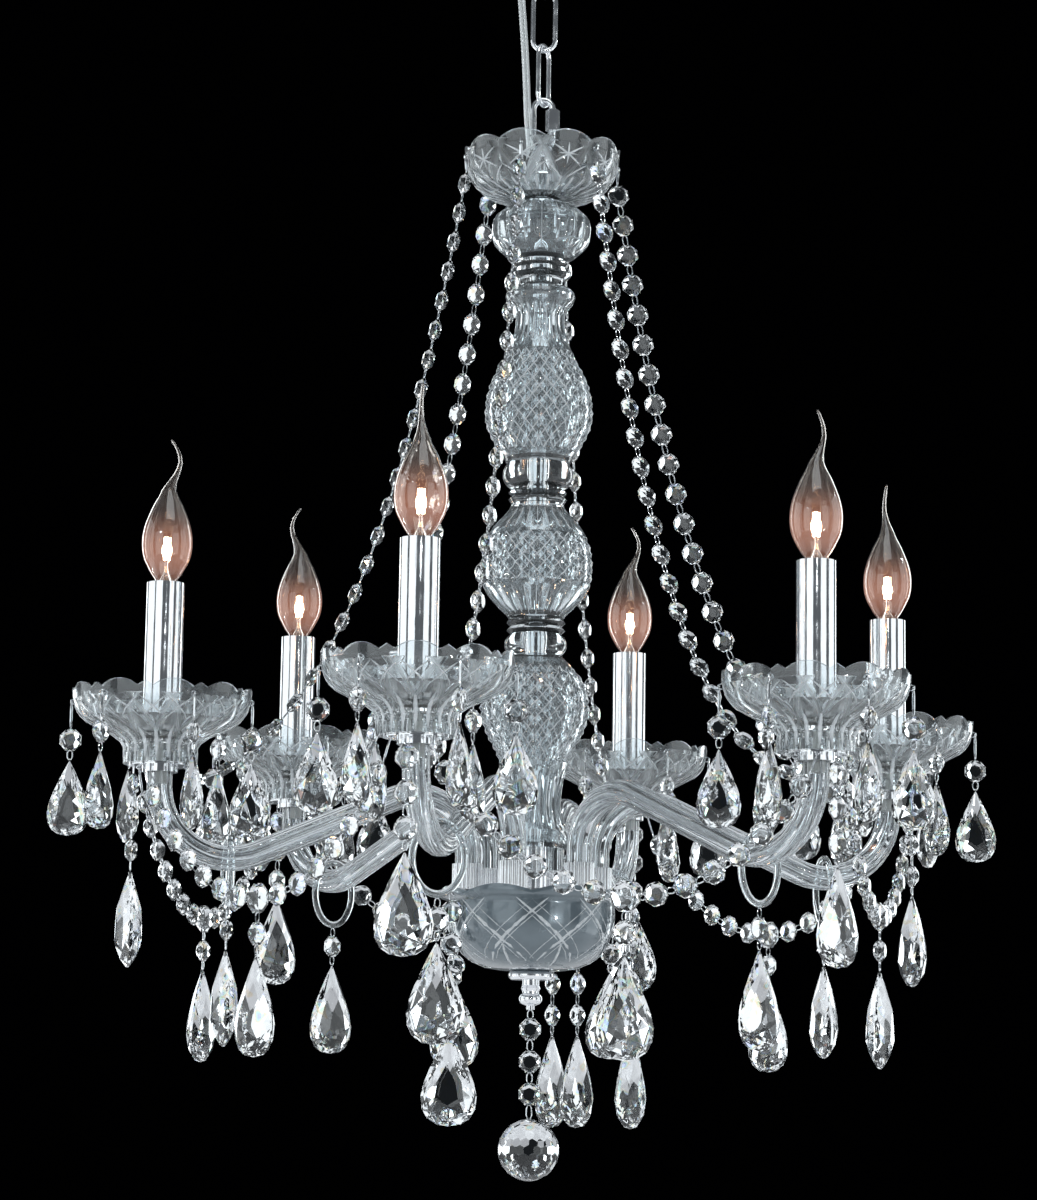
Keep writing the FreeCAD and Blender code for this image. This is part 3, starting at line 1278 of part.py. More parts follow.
def make_rim_drops(drop):
    """The small drops round the rim of each dish, one bead above each."""
    chain = Chain()
    drops = count("rim_drop_count")
    rim = number("dish_radius") + 1
    top_z = (FEET["cup"] + s.pin_plate_thickness + s.dish_height - s.dish_lobe_rise
             - s.rim_hole_depth).value
    for angle in lamp_angles():
        centre = polar(number("lamp_circle_radius"), angle, 0)
        for place in range(drops):
            side = angle + number("rim_drop_turn") + place * 360 / drops
            facing = polar(1, side + 90, 0)
            top = centre + polar(rim, side, top_z)
            chain.hook_rim(centre + polar(rim - number("dish_wall") - 3, side, top_z), top)
            foot = chain.hang_down(top, 1, number("bead_pitch"), facing, number("rim_hook"))
            chain.add_drop(foot, drop, facing, number("drop_hook"))
    return show("dish_drops", Part.makeCompound(chain.pieces))


def make_fixed_drops(drop):
    """The drops under the swags and those on bead chains round the bowl."""
    chain = Chain()
    _, _, distance = swag_line()
    hook = number("drop_hook")
    low = FEET["cup"].value - hook - number("swag_sag") - number("big_bead_radius")
    for angle in lamp_angles():
        middle = angle + number("lamp_spread") / 2
        facing = polar(1, middle, 0)
        foot = chain.hang_down(polar(distance, middle, low), 1, number("chain_pitch"), facing,
                               hook)
        chain.add_drop(foot, drop, facing, hook)
    rim_z = FEET["bowl"].value + number("bowl_height") + 1
    rim_face = number("bowl_rim_radius") - 0.3
    for angle, radius, face in BOWL_DROPS:
        facing = polar(1, face, 0)
        top = polar(radius, angle, rim_z)
        chain.hook_rim(polar(rim_face, angle, rim_z), top)
        foot = chain.hang_down(top, count("bowl_chain_bead_count"), number("chain_pitch"), facing,
                               hook)
        chain.add_drop(foot, drop, facing, hook)
    return show("hanging_drops", Part.makeCompound(chain.pieces))


def faceted_ball(radius):
    """A ball of flat facets in staggered rows, with a small cap at both poles."""
    rows, sides = (-60, -25, 10, 42, 70), 10
    points, triangles = [], []
    for row, latitude in enumerate(rows):
        for side in range(sides):
            turn = (side + 0.5 * (row % 2)) * 2 * math.pi / sides
            lift = math.radians(latitude)
            points.append(Vector(radius * math.cos(lift) * math.cos(turn),
                                 radius * math.cos(lift) * math.sin(turn),
                                 radius * math.sin(lift)))
    bottom, top = len(points), len(points) + 1
    points += [Vector(0, 0, -radius), Vector(0, 0, radius)]
    last = (len(rows) - 1) * sides
    for side in range(sides):
        after = (side + 1) % sides
        triangles.append((after, side, bottom))
        triangles.append((last + side, last + after, top))
        for row in range(len(rows) - 1):
            a, b = row * sides + side, row * sides + after
            c, d = a + sides, b + sides
            if row % 2:
                triangles += [(a, b, d), (a, d, c)]
            else:
                triangles += [(a, b, c), (b, d, c)]
    return polyhedron(points, triangles)


def make_ball_strand():
    chain = Chain()
    facing = Vector(0, -1, 0)
    top = Vector(0, 0, FEET["cap"].value - number("swing_gap"))
    foot = chain.hang_down(top, count("ball_bead_count"), number("chain_pitch"), facing,
                           number("drop_hook"))
    hook = number("drop_hook") * 1.6
    chain.add_wire(foot, foot - Vector(0, 0, hook), Vector(1, 0, 0))
    radius = number("crystal_ball_radius")
    ball = faceted_ball(radius)
    ball.translate(foot - Vector(0, 0, hook + radius))
    chain.pieces.append(ball)
    return show("ball_strand", Part.makeCompound(chain.pieces))


NODES = (
    ["ceiling_canopy", "canopy_fittings", "chain_link_upper", "chain_link_middle", "chain_link_lower",
     "quick_link", "quick_link_nut", "supply_cord", "stem_loop", "centre_stem", "crown_dish",
     "melon_ball", "upper_collar", "upper_vase", "middle_collar", "middle_ball", "lower_collar",
     "lower_vase", "stem_spacer", "arm_plate", "bottom_bowl", "bottom_cap", "pin_plates",
     "lamp_holders", "candle_sleeves", "bead_strands", "dish_drops", "hanging_drops",
     "arm_rings", "ball_strand"]
    + [f"{name}_{lamp}" for name in ("glass_arm", "bobeche", "bulb", "lamp_drop", "arm_drop")
       for lamp in range(1, 7)]
)


def build():
    make_canopy()
    make_fittings()
    make_chain()
    make_quick_link()
    make_cord()
    make_stem_loop()
    make_stem()
    make_crown()
    make_melon()
    make_collars()
    make_upper_vase()
    make_middle_ball()
    make_lower_vase()
    make_spacer()
    make_plate()
    make_bowl()
    make_cap()
    make_arms()
    make_pin_plates()
    dish = make_dishes()
    doc.recompute()
    place_dishes(dish)
    make_holders()
    make_sleeves()
    make_bulbs()
    make_strands()
    large, small = drop_shapes()
    make_lamp_drops(large)
    make_rings()
    make_arm_drops(large)
    make_rim_drops(small)
    make_fixed_drops(large)
    make_ball_strand()
    doc.recompute()


def check_and_write():
    """Stop on any failed object, then write each sub-part to its own file."""
    for item in doc.Objects:
        if "Invalid" in item.State or "Error" in item.State:
            raise RuntimeError(f"{item.Name} failed: {item.State}")
    os.makedirs("parts", exist_ok=True)
    for node in NODES:
        piece = doc.getObjectsByLabel(node)[0]
        shape = piece.Shape
        if shape.isNull() or not shape.isValid() or shape.Volume <= 0:
            raise RuntimeError(f"{node} is not a sound solid")
        shape.exportStep(f"parts/{node}.step")
    print(len(NODES), "nodes written")


build()
check_and_write()
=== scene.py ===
"""Looks of a six-light crystal chandelier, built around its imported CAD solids.

The cut glass column, the bulbs, the beads with their wire links and the supply flex are
modelled here. The other pieces are the CAD solids with finishes of their own.
"""

import logging
import math
from collections.abc import Callable, Iterable, Sequence
from dataclasses import dataclass, field
from enum import Enum

import bmesh
import bpy
from bmesh.types import BMesh, BMFace, BMVert
from mathutils import Matrix, Vector
from mathutils.bvhtree import BVHTree

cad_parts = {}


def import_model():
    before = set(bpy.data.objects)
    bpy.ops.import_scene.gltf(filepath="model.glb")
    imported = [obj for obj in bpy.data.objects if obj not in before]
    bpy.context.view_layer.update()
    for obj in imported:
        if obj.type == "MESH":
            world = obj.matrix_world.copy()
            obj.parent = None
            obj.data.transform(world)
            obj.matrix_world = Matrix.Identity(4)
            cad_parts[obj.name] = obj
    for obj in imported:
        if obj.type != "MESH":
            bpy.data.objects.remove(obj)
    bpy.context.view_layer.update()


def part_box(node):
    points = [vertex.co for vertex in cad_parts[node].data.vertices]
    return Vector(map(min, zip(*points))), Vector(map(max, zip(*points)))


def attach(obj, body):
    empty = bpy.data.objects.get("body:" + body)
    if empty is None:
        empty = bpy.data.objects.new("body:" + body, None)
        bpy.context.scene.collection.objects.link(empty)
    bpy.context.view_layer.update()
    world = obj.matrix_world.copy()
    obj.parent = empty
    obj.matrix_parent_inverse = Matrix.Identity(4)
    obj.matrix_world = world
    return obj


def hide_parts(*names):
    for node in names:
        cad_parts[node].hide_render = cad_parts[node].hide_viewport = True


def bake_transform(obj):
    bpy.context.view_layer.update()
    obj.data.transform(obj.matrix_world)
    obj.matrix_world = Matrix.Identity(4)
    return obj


log = logging.getLogger("chandelier")

MM = 0.001
LAMPS = range(1, 7)
LAMP_CIRCLE = 248 * MM
FIRST_LAMP = -106.6
LAMP_SPREAD = 60
TAIL_TURNS = (100, 40, 100, 20, 200, 0)
CROWN_TURN = 2
GROOVE_ANGLE = -0.35
SHORTEST_GROOVE = 0.8 * MM
# half width of the painted highlight strips in the arms' grooves
GROOVE_HIGHLIGHT = 0.28 * MM


def lamp_place(lamp: int, radius: float = LAMP_CIRCLE) -> Vector:
    """The point of one lamp's axis on the ceiling's plane.

    Args:
        lamp: The lamp's number, from 1.
        radius: How far the point is from the column.

    Returns:
        The point, in metres.
    """
    angle = math.radians(FIRST_LAMP + LAMP_SPREAD * (lamp - 1))
    return Vector((radius * math.cos(angle), radius * math.sin(angle), 0))


# Shader graphs


class Graph:
    """A node tree with short calls that add nodes and join them."""

    def __init__(self, tree: bpy.types.NodeTree) -> None:
        """Take a node tree to add to."""
        self.tree = tree

    def node(self, kind: str, inputs: dict | None = None, **settings: object) -> bpy.types.Node:
        """Add a node.

        Args:
            kind: Blender's name of the node type.
            inputs: Values or output sockets by the input's name or number.
            settings: Properties of the node.

        Returns:
            The new node.
        """
        made = self.tree.nodes.new(kind)
        for name, value in settings.items():
            setattr(made, name, value)
        for name, value in (inputs or {}).items():
            if isinstance(value, bpy.types.NodeSocket):
                self.tree.links.new(value, made.inputs[name])
            else:
                made.inputs[name].default_value = value
        return made

    def math(self, operation: str, *values: object) -> bpy.types.NodeSocket:
        """Add a Math node on numbers or sockets, and give its output."""
        inputs = dict(enumerate(values))
        return self.node("ShaderNodeMath", inputs, operation=operation).outputs[0]

    def ramp(self, factor: object, low: object, high: object, to: tuple) -> bpy.types.NodeSocket:
        """Map a factor from low..high to the two numbers of to, smoothly."""
        inputs = {"Value": factor, "From Min": low, "From Max": high, "To Min": to[0], "To Max": to[1]}
        return self.node("ShaderNodeMapRange", inputs, interpolation_type="SMOOTHSTEP").outputs[0]


class GroupMaker:
    """Makes the shared node groups once each, and places them in materials."""

    def __init__(self) -> None:
        """Start with no group made."""
        self.made: dict[str, bpy.types.NodeTree] = {}

    def place(self, graph: Graph, name: str, inputs: dict) -> bpy.types.Node:
        """Place a shared group in a material.

        Args:
            graph: The material's graph.
            name: The group's name, which is also its builder's.
            inputs: Values or sockets by input name.

        Returns:
            The group node.
        """
        if name not in self.made:
            self.made[name] = getattr(self, name)()
        return graph.node("ShaderNodeGroup", inputs, node_tree=self.made[name])

    def start(
        self, name: str, inputs: Sequence[tuple[str, str, float]], outputs: Sequence[tuple[str, str]]
    ) -> tuple[Graph, bpy.types.Node, bpy.types.Node]:
        """Begin a group with named sockets.

        Args:
            name: The group's name.
            inputs: Name, socket type and default of each input.
            outputs: Name and socket type of each output.

        Returns:
            The group's graph, its input node and its output node.
        """
        tree = bpy.data.node_groups.new(name, "ShaderNodeTree")
        for label, kind, default in inputs:
            socket = tree.interface.new_socket(label, in_out="INPUT", socket_type=kind)
            if kind == "NodeSocketFloat":
                socket.default_value = default
        for label, kind in outputs:
            tree.interface.new_socket(label, in_out="OUTPUT", socket_type=kind)
        graph = Graph(tree)
        return graph, graph.node("NodeGroupInput"), graph.node("NodeGroupOutput")

    def surface_wear(self) -> bpy.types.NodeTree:
        """Smudges and fine scratches: a roughness that varies, and a height."""
        graph, given, out = self.start(
            "surface_wear",
            [
                ("Vector", "NodeSocketVector", 0),
                ("Scale", "NodeSocketFloat", 60),
                ("Clean", "NodeSocketFloat", 0.03),
                ("Worn", "NodeSocketFloat", 0.14),
            ],
            [("Roughness", "NodeSocketFloat"), ("Height", "NodeSocketFloat")],
        )
        inputs = {"Vector": given.outputs["Vector"], "Scale": given.outputs["Scale"], "Detail": 5}
        smudge = graph.node("ShaderNodeTexNoise", inputs).outputs["Fac"]
        stretch = graph.node(
            "ShaderNodeMapping", {"Vector": given.outputs["Vector"], "Scale": (9, 9, 0.7)}
        ).outputs[0]
        lines = graph.node(
            "ShaderNodeTexNoise", {"Vector": stretch, "Scale": given.outputs["Scale"], "Detail": 2}
        ).outputs["Fac"]
        mask = graph.ramp(smudge, 0.42, 0.68, (0, 1))
        scratch = graph.ramp(lines, 0.6, 0.72, (0, 0.5))
        share = graph.math("MAXIMUM", mask, scratch)
        span = graph.math("SUBTRACT", given.outputs["Worn"], given.outputs["Clean"])
        rough = graph.math("MULTIPLY_ADD", share, span, given.outputs["Clean"])
        graph.tree.links.new(rough, out.inputs["Roughness"])
        graph.tree.links.new(graph.math("ADD", smudge, lines), out.inputs["Height"])
        return graph.tree

    def cut_lines(self) -> bpy.types.NodeTree:
        """Crossing slanted cuts round an upright axis: a height that falls in each cut."""
        graph, given, out = self.start(
            "cut_lines",
            [
                ("Vector", "NodeSocketVector", 0),
                ("Count", "NodeSocketFloat", 20),
                ("Pitch", "NodeSocketFloat", 0.02),
                ("Width", "NodeSocketFloat", 0.3),
                ("Low", "NodeSocketFloat", -1),
                ("High", "NodeSocketFloat", 1),
            ],
            [("Height", "NodeSocketFloat"), ("Mask", "NodeSocketFloat")],
        )
        parts = graph.node("ShaderNodeSeparateXYZ", {0: given.outputs["Vector"]}).outputs
        turn = graph.math("DIVIDE", graph.math("ARCTAN2", parts["Y"], parts["X"]), 2 * math.pi)
        round_it = graph.math("MULTIPLY", turn, given.outputs["Count"])
        along = graph.math("DIVIDE", parts["Z"], given.outputs["Pitch"])
        sides = []
        for operation in ("ADD", "SUBTRACT"):
            wave = graph.math(operation, round_it, along)
            sides.append(graph.math("PINGPONG", wave, 0.5))
        nearest = graph.math("MINIMUM", *sides)
        inputs = (nearest, 0, given.outputs["Width"])
        flat = graph.node(
            "ShaderNodeMapRange", {"Value": inputs[0], "From Min": 0, "From Max": inputs[2]}
        ).outputs[0]
        above = graph.math("GREATER_THAN", parts["Z"], given.outputs["Low"])
        below = graph.math("LESS_THAN", parts["Z"], given.outputs["High"])
        inside = graph.math("MULTIPLY", above, below)
        cut = graph.math("MULTIPLY", graph.math("SUBTRACT", 1, flat), inside)
        graph.tree.links.new(graph.math("SUBTRACT", 1, cut), out.inputs["Height"])
        graph.tree.links.new(cut, out.inputs["Mask"])
        return graph.tree

    def upright_flutes(self) -> bpy.types.NodeTree:
        """Rounded upright flutes round an axis: a height between two levels of the piece."""
        graph, given, out = self.start(
            "upright_flutes",
            [
                ("Vector", "NodeSocketVector", 0),
                ("Count", "NodeSocketFloat", 24),
                ("Low", "NodeSocketFloat", -1),
                ("High", "NodeSocketFloat", 1),
            ],
            [("Height", "NodeSocketFloat")],
        )
        parts = graph.node("ShaderNodeSeparateXYZ", {0: given.outputs["Vector"]}).outputs
        turn = graph.math("ARCTAN2", parts["Y"], parts["X"])
        wave = graph.math("MULTIPLY", turn, graph.math("MULTIPLY", given.outputs["Count"], 0.5))
        ridge = graph.math("ABSOLUTE", graph.math("SINE", wave))
        above = graph.math("GREATER_THAN", parts["Z"], given.outputs["Low"])
        below = graph.math("LESS_THAN", parts["Z"], given.outputs["High"])
        inside = graph.math("MULTIPLY", above, below)
        graph.tree.links.new(graph.math("MULTIPLY", ridge, inside), out.inputs["Height"])
        return graph.tree


GROUPS = GroupMaker()


# Finishes


class Finish:
    """A material, made on first use from the shader settings of its kind."""

    name = "finish"

    def shade(self, graph: Graph, shader: bpy.types.Node, place: bpy.types.NodeSocket) -> None:
        """Set the shader's sockets. Each kind of finish does this in its own way."""
        raise NotImplementedError

    def material(self) -> bpy.types.Material:
        """The finish as a material, which is made once.

        Returns:
            The material.
        """
        found = bpy.data.materials.get(self.name)
        if found:
            return found
        made = bpy.data.materials.new(self.name)
        made.use_nodes = True
        graph = Graph(made.node_tree)
        shader = made.node_tree.nodes["Principled BSDF"]
        place = graph.node("ShaderNodeTexCoord").outputs["Object"]
        self.shade(graph, shader, place)
        return made


def join(graph: Graph, shader: bpy.types.Node, name: str, socket: bpy.types.NodeSocket) -> None:
    """Join an output to one of the shader's inputs."""
    graph.tree.links.new(socket, shader.inputs[name])


def bump(
    graph: Graph, shader: bpy.types.Node, height: bpy.types.NodeSocket, strength: float, distance: float
) -> None:
    """Raise the surface by a height.

    Args:
        graph: The material's graph.
        shader: The shader whose normal it turns.
        height: The height, from 0 to 1.
        strength: How strongly the normal turns.
        distance: How deep a height of 1 is, in metres.
    """
    inputs = {"Height": height, "Strength": strength, "Distance": distance}
    join(graph, shader, "Normal", graph.node("ShaderNodeBump", inputs).outputs[0])


@dataclass(frozen=True)
class MetalFinish(Finish):
    """Plated metal with finger marks and hairline scratches."""

    name: str = "polished_chrome"
    color: tuple = (0.86, 0.87, 0.89, 1)
    clean: float = 0.04
    worn: float = 0.16
    scale: float = 70

    def shade(self, graph: Graph, shader: bpy.types.Node, place: bpy.types.NodeSocket) -> None:
        """A metal whose roughness follows its wear."""
        shader.inputs["Base Color"].default_value = self.color
        shader.inputs["Metallic"].default_value = 1
        inputs = {"Vector": place, "Scale": self.scale, "Clean": self.clean, "Worn": self.worn}
        wear = GROUPS.place(graph, "surface_wear", inputs)
        join(graph, shader, "Roughness", wear.outputs["Roughness"])
        bump(graph, shader, wear.outputs["Height"], 0.12, 0.0002)


@dataclass(frozen=True)
class GlassFinish(Finish):
    """Pressed or blown clear glass, faintly rippled, with a cool tint in its thickness."""

    name: str = "pressed_glass"
    color: tuple = (0.9, 0.945, 0.965, 1)
    clarity: float = 0.97
    ior: float = 1.52
    worn: float = 0.05
    ripple: float = 0.25
    scale: float = 30
    clean: float = 0.0

    def shade(self, graph: Graph, shader: bpy.types.Node, place: bpy.types.NodeSocket) -> None:
        """Clear glass whose surface is polished, with a few smudges."""
        shader.inputs["Base Color"].default_value = self.color
        shader.inputs["Transmission Weight"].default_value = self.clarity
        shader.inputs["IOR"].default_value = self.ior
        inputs = {"Vector": place, "Scale": self.scale, "Clean": self.clean, "Worn": self.worn}
        wear = GROUPS.place(graph, "surface_wear", inputs)
        height, rough = self.relief(graph, place, wear)
        join(graph, shader, "Roughness", rough)
        bump(graph, shader, height, self.ripple, 0.0004)

    def relief(
        self, graph: Graph, place: bpy.types.NodeSocket, wear: bpy.types.Node
    ) -> tuple[bpy.types.NodeSocket, bpy.types.NodeSocket]:
        """The surface's height and roughness, which are only its wear on plain glass."""
        return wear.outputs["Height"], wear.outputs["Roughness"]


@dataclass(frozen=True)
class CrystalFinish(GlassFinish):
    """Lead crystal: fully clear and flat, with rare patches of painted rainbow glints in its colour."""

    name: str = "lead_crystal"
    color: tuple = (0.97, 0.985, 1.0, 1)
    clarity: float = 1.0
    ior: float = 1.64

    def shade(self, graph: Graph, shader: bpy.types.Node, place: bpy.types.NodeSocket) -> None:
        """Clear crystal with painted glints: sparse patches of orange, green and blue in its base colour.
        """
        shader.inputs["Transmission Weight"].default_value = self.clarity
        shader.inputs["IOR"].default_value = self.ior
        shader.inputs["Roughness"].default_value = 0
        # painted glints: a coarse noise lays rare bands of orange, green and blue into the base colour, for
        # the rainbow fire of the facets
        inputs = {"Vector": place, "Scale": 75.0, "Detail": 1}
        painted_glint = graph.node("ShaderNodeTexNoise", inputs).outputs["Fac"]
        ramp = graph.node("ShaderNodeValToRGB", {"Fac": painted_glint})
        bands = ((0.0, self.color), (0.6, self.color), (0.625, (1.0, 0.72, 0.42, 1)),
                 (0.65, (0.5, 0.95, 0.75, 1)), (0.675, (0.42, 0.5, 1.0, 1)), (0.72, self.color))
        stops = ramp.color_ramp.elements
        for place_of, tint in bands:
            stop = stops.new(place_of)
            stop.color = tint
        stops.remove(stops[0])
        stops.remove(stops[-1])
        join(graph, shader, "Base Color", ramp.outputs["Color"])


@dataclass(frozen=True)
class CutGlassFinish(GlassFinish):
    """Clear glass with slanted wheel cuts and flutes round an upright axis."""

    name: str = "cut_glass"
    clarity: float = 0.96
    axis: tuple = (0, 0, 0)
    ripple: float = 0.9
    cuts: int = 14
    pitch: float = 0.036
    cut_from: float = 0.012
    cut_to: float = 0.04
    flutes: int = 36
    flute_from: float = -0.02
    flute_to: float = 0.012

    def relief(
        self, graph: Graph, place: bpy.types.NodeSocket, wear: bpy.types.Node
    ) -> tuple[bpy.types.NodeSocket, bpy.types.NodeSocket]:
        """The height of the cuts and flutes together, and a roughness that frosts the cuts."""
        back = tuple(-value for value in self.axis)
        local = graph.node("ShaderNodeMapping", {"Vector": place, "Location": back}).outputs[0]
        inputs = {"Vector": local, "Count": self.cuts, "Pitch": self.pitch, "Width": 0.16}
        inputs |= {"Low": self.cut_from, "High": self.cut_to}
        cuts = GROUPS.place(graph, "cut_lines", inputs).outputs
        inputs = {"Vector": local, "Count": self.flutes, "Low": self.flute_from}
        flutes = GROUPS.place(graph, "upright_flutes", inputs | {"High": self.flute_to})
        ridges = graph.math("MULTIPLY", flutes.outputs["Height"], 1.6)
        frost = graph.math("MULTIPLY", cuts["Mask"], 0.45)
        height = graph.math("ADD", graph.math("MULTIPLY", cuts["Height"], 2.4), ridges)
        return height, graph.math("MAXIMUM", wear.outputs["Roughness"], frost)


@dataclass(frozen=True)
class SilveredFinish(Finish):
    """Glass silvered thinly on its inside: a cool grey that still mirrors the room."""

    name: str = "clouded_mirror"

    def shade(self, graph: Graph, shader: bpy.types.Node, place: bpy.types.NodeSocket) -> None:
        """A clouded grey mirror under a clear coat."""
        wear = GROUPS.place(
            graph, "surface_wear", {"Vector": place, "Scale": 40.0, "Clean": 0.12, "Worn": 0.3}
        )
        cloud = graph.node("ShaderNodeTexNoise", {"Vector": place, "Scale": 45, "Detail": 3})
        tint = graph.node(
            "ShaderNodeMix",
            {"Factor": cloud.outputs["Fac"], 6: (0.055, 0.075, 0.09, 1), 7: (0.16, 0.2, 0.225, 1)},
            data_type="RGBA",
        )
        join(graph, shader, "Base Color", tint.outputs[2])
        join(graph, shader, "Roughness", wear.outputs["Roughness"])
        shader.inputs["Metallic"].default_value = 0.35
        shader.inputs["Coat Weight"].default_value = 1
        shader.inputs["Coat Roughness"].default_value = 0.03
        bump(graph, shader, wear.outputs["Height"], 0.2, 0.0006)


@dataclass(frozen=True)
class FlexFinish(Finish):
    """Clear twin flex: tinned strands that show through a glossy jacket."""

    name: str = "clear_flex"

    def shade(self, graph: Graph, shader: bpy.types.Node, place: bpy.types.NodeSocket) -> None:
        """Bright strands, twisted, under a clear coat."""
        stretch = graph.node("ShaderNodeMapping", {"Vector": place, "Scale": (1, 1, 0.35)})
        inputs = {"Vector": stretch.outputs[0], "Scale": 900, "Distortion": 1.5}
        strands = graph.node("ShaderNodeTexWave", inputs, bands_direction="DIAGONAL").outputs["Fac"]
        tint = graph.node(
            "ShaderNodeMix",
            {"Factor": strands, 6: (0.42, 0.45, 0.46, 1), 7: (0.86, 0.88, 0.88, 1)},
            data_type="RGBA",
        )
        join(graph, shader, "Base Color", tint.outputs[2])
        join(graph, shader, "Roughness", graph.ramp(strands, 0, 1, (0.38, 0.22)))
        shader.inputs["Metallic"].default_value = 0.6
        shader.inputs["Coat Weight"].default_value = 1
        shader.inputs["Coat Roughness"].default_value = 0.08
        bump(graph, shader, strands, 0.3, 0.0002)


@dataclass(frozen=True)
class CeramicFinish(Finish):
    """Glazed ceramic of the lamp holders."""

    name: str = "glazed_ceramic"

    def shade(self, graph: Graph, shader: bpy.types.Node, place: bpy.types.NodeSocket) -> None:
        """A pale glaze that pools and thins."""
        cloud = graph.node("ShaderNodeTexNoise", {"Vector": place, "Scale": 120, "Detail": 3})
        tint = graph.node(
            "ShaderNodeMix",
            {"Factor": cloud.outputs["Fac"], 6: (0.8, 0.78, 0.72, 1), 7: (0.9, 0.89, 0.86, 1)},
            data_type="RGBA",
        )
        join(graph, shader, "Base Color", tint.outputs[2])
        join(graph, shader, "Roughness", graph.ramp(cloud.outputs["Fac"], 0, 1, (0.2, 0.4)))
        bump(graph, shader, cloud.outputs["Fac"], 0.1, 0.0003)


@dataclass(frozen=True)
class BulbGlassFinish(Finish):
    """A bulb's thin clear glass, which glows round its filament."""

    name: str = "bulb_glass"
    centre: tuple = (0, 0, 0)

    def shade(self, graph: Graph, shader: bpy.types.Node, place: bpy.types.NodeSocket) -> None:
        """Thin glass whose warm glow fades with the distance from the filament."""
        shader.inputs["Base Color"].default_value = (1.0, 0.95, 0.91, 1)
        shader.inputs["Transmission Weight"].default_value = 1
        shader.inputs["IOR"].default_value = 1.45
        wear = GROUPS.place(
            graph, "surface_wear", {"Vector": place, "Scale": 50.0, "Clean": 0.0, "Worn": 0.04}
        )
        join(graph, shader, "Roughness", wear.outputs["Roughness"])
        bump(graph, shader, wear.outputs["Height"], 0.1, 0.0002)
        away = graph.node("ShaderNodeVectorMath", {0: place, 1: self.centre}, operation="DISTANCE")
        near = graph.math("POWER", graph.ramp(away.outputs["Value"], 0.01, 0.036, (1, 0)), 3)
        glow = graph.node(
            "ShaderNodeMix",
            {"Factor": near, 6: (0.02, 0.014, 0.011, 1), 7: (0.9, 0.4, 0.27, 1)},
            data_type="RGBA",
        )
        join(graph, shader, "Emission Color", glow.outputs[2])
        shader.inputs["Emission Strength"].default_value = 0.14


@dataclass(frozen=True)
class FilamentFinish(Finish):
    """The white-hot filament, its tint varying in a fine grain."""

    name: str = "hot_filament"
    height: float = -0.5
    strength: float = 26

    def shade(self, graph: Graph, shader: bpy.types.Node, place: bpy.types.NodeSocket) -> None:
        """Light whose tint varies in a fine grain between orange and warm white."""
        grain = graph.node("ShaderNodeTexNoise", {"Vector": place, "Scale": 300}).outputs["Fac"]
        tint = graph.node(
            "ShaderNodeMix",
            {"Factor": grain, 6: (1.0, 0.55, 0.26, 1), 7: (1.0, 0.83, 0.62, 1)},
            data_type="RGBA",
        )
        join(graph, shader, "Emission Color", tint.outputs[2])
        join(graph, shader, "Base Color", tint.outputs[2])
        shader.inputs["Emission Strength"].default_value = self.strength


@dataclass(frozen=True)
class FloorFinish(Finish):
    """The studio's pale floor."""

    name: str = "pale_floor"

    def shade(self, graph: Graph, shader: bpy.types.Node, place: bpy.types.NodeSocket) -> None:
        """Matt paint with a faint mottle."""
        cloud = graph.node("ShaderNodeTexNoise", {"Vector": place, "Scale": 3}).outputs["Fac"]
        tint = graph.node(
            "ShaderNodeMix",
            {"Factor": cloud, 6: (0.7, 0.71, 0.72, 1), 7: (0.78, 0.78, 0.79, 1)},
            data_type="RGBA",
        )
        join(graph, shader, "Base Color", tint.outputs[2])
        shader.inputs["Roughness"].default_value = 0.8


CHROME = MetalFinish()
WIRE = MetalFinish("bright_wire", (0.8, 0.82, 0.84, 1), 0.1, 0.25, 200)
SCREW_CAP = MetalFinish("screw_cap", (0.72, 0.66, 0.5, 1), 0.15, 0.35, 120)
CLEAR = GlassFinish()
ARM_GLASS = GlassFinish("arm_glass", (0.95, 0.98, 1.0, 1), 0.97, 1.54, 0.02, 0.1, 20)
COLUMN_GLASS = GlassFinish("column_glass", (0.88, 0.935, 0.96, 1), 0.95, 1.52, 0.02, 0.1, 40)
# milky glass of the frosted wheel cuts, also worn by the painted highlight strips in the column's and the
# arms' grooves
CUT_AND_HIGHLIGHT_GLASS = GlassFinish("wheel_cut_and_highlight", (0.93, 0.97, 1.0, 1), 0.55, 1.52, 0.26, 0.2, 60, 0.14)
CHAIN_METAL = MetalFinish("satin_nickel", (0.8, 0.81, 0.83, 1), 0.1, 0.24, 110)
STEM_GLASS = GlassFinish("stem_glass", (0.97, 0.98, 0.99, 1), 0.98, 1.5, 0.02, 0.1, 40)
CRYSTAL = CrystalFinish()
CROWN_GLASS = CutGlassFinish(
    "crown_glass", axis=(0, 0, -0.2403), cuts=10, pitch=0.05, cut_from=0.004, cut_to=0.031,
    flutes=40, flute_to=0.003,
)


# Meshes


def to_object(name: str, mesh: BMesh, finish: Finish, smooth_degrees: float = 0) -> bpy.types.Object:
    """Turn a finished mesh into an object at the origin.

    Args:
        name: The piece's name.
        mesh: The mesh, which is freed.
        finish: The finish that it wears.
        smooth_degrees: Edges flatter than this are shaded smooth, and 0 leaves all flat.

    Returns:
        The new object.
    """
    limit = math.radians(smooth_degrees)
    for face in mesh.faces:
        face.smooth = smooth_degrees > 0
    for edge in mesh.edges:
        edge.smooth = len(edge.link_faces) == 2 and edge.calc_face_angle(0) < limit
    data = bpy.data.meshes.new(name)
    mesh.to_mesh(data)
    mesh.free()
    data.materials.append(finish.material())
    made = bpy.data.objects.new(name, data)
    bpy.context.scene.collection.objects.link(made)
    return made


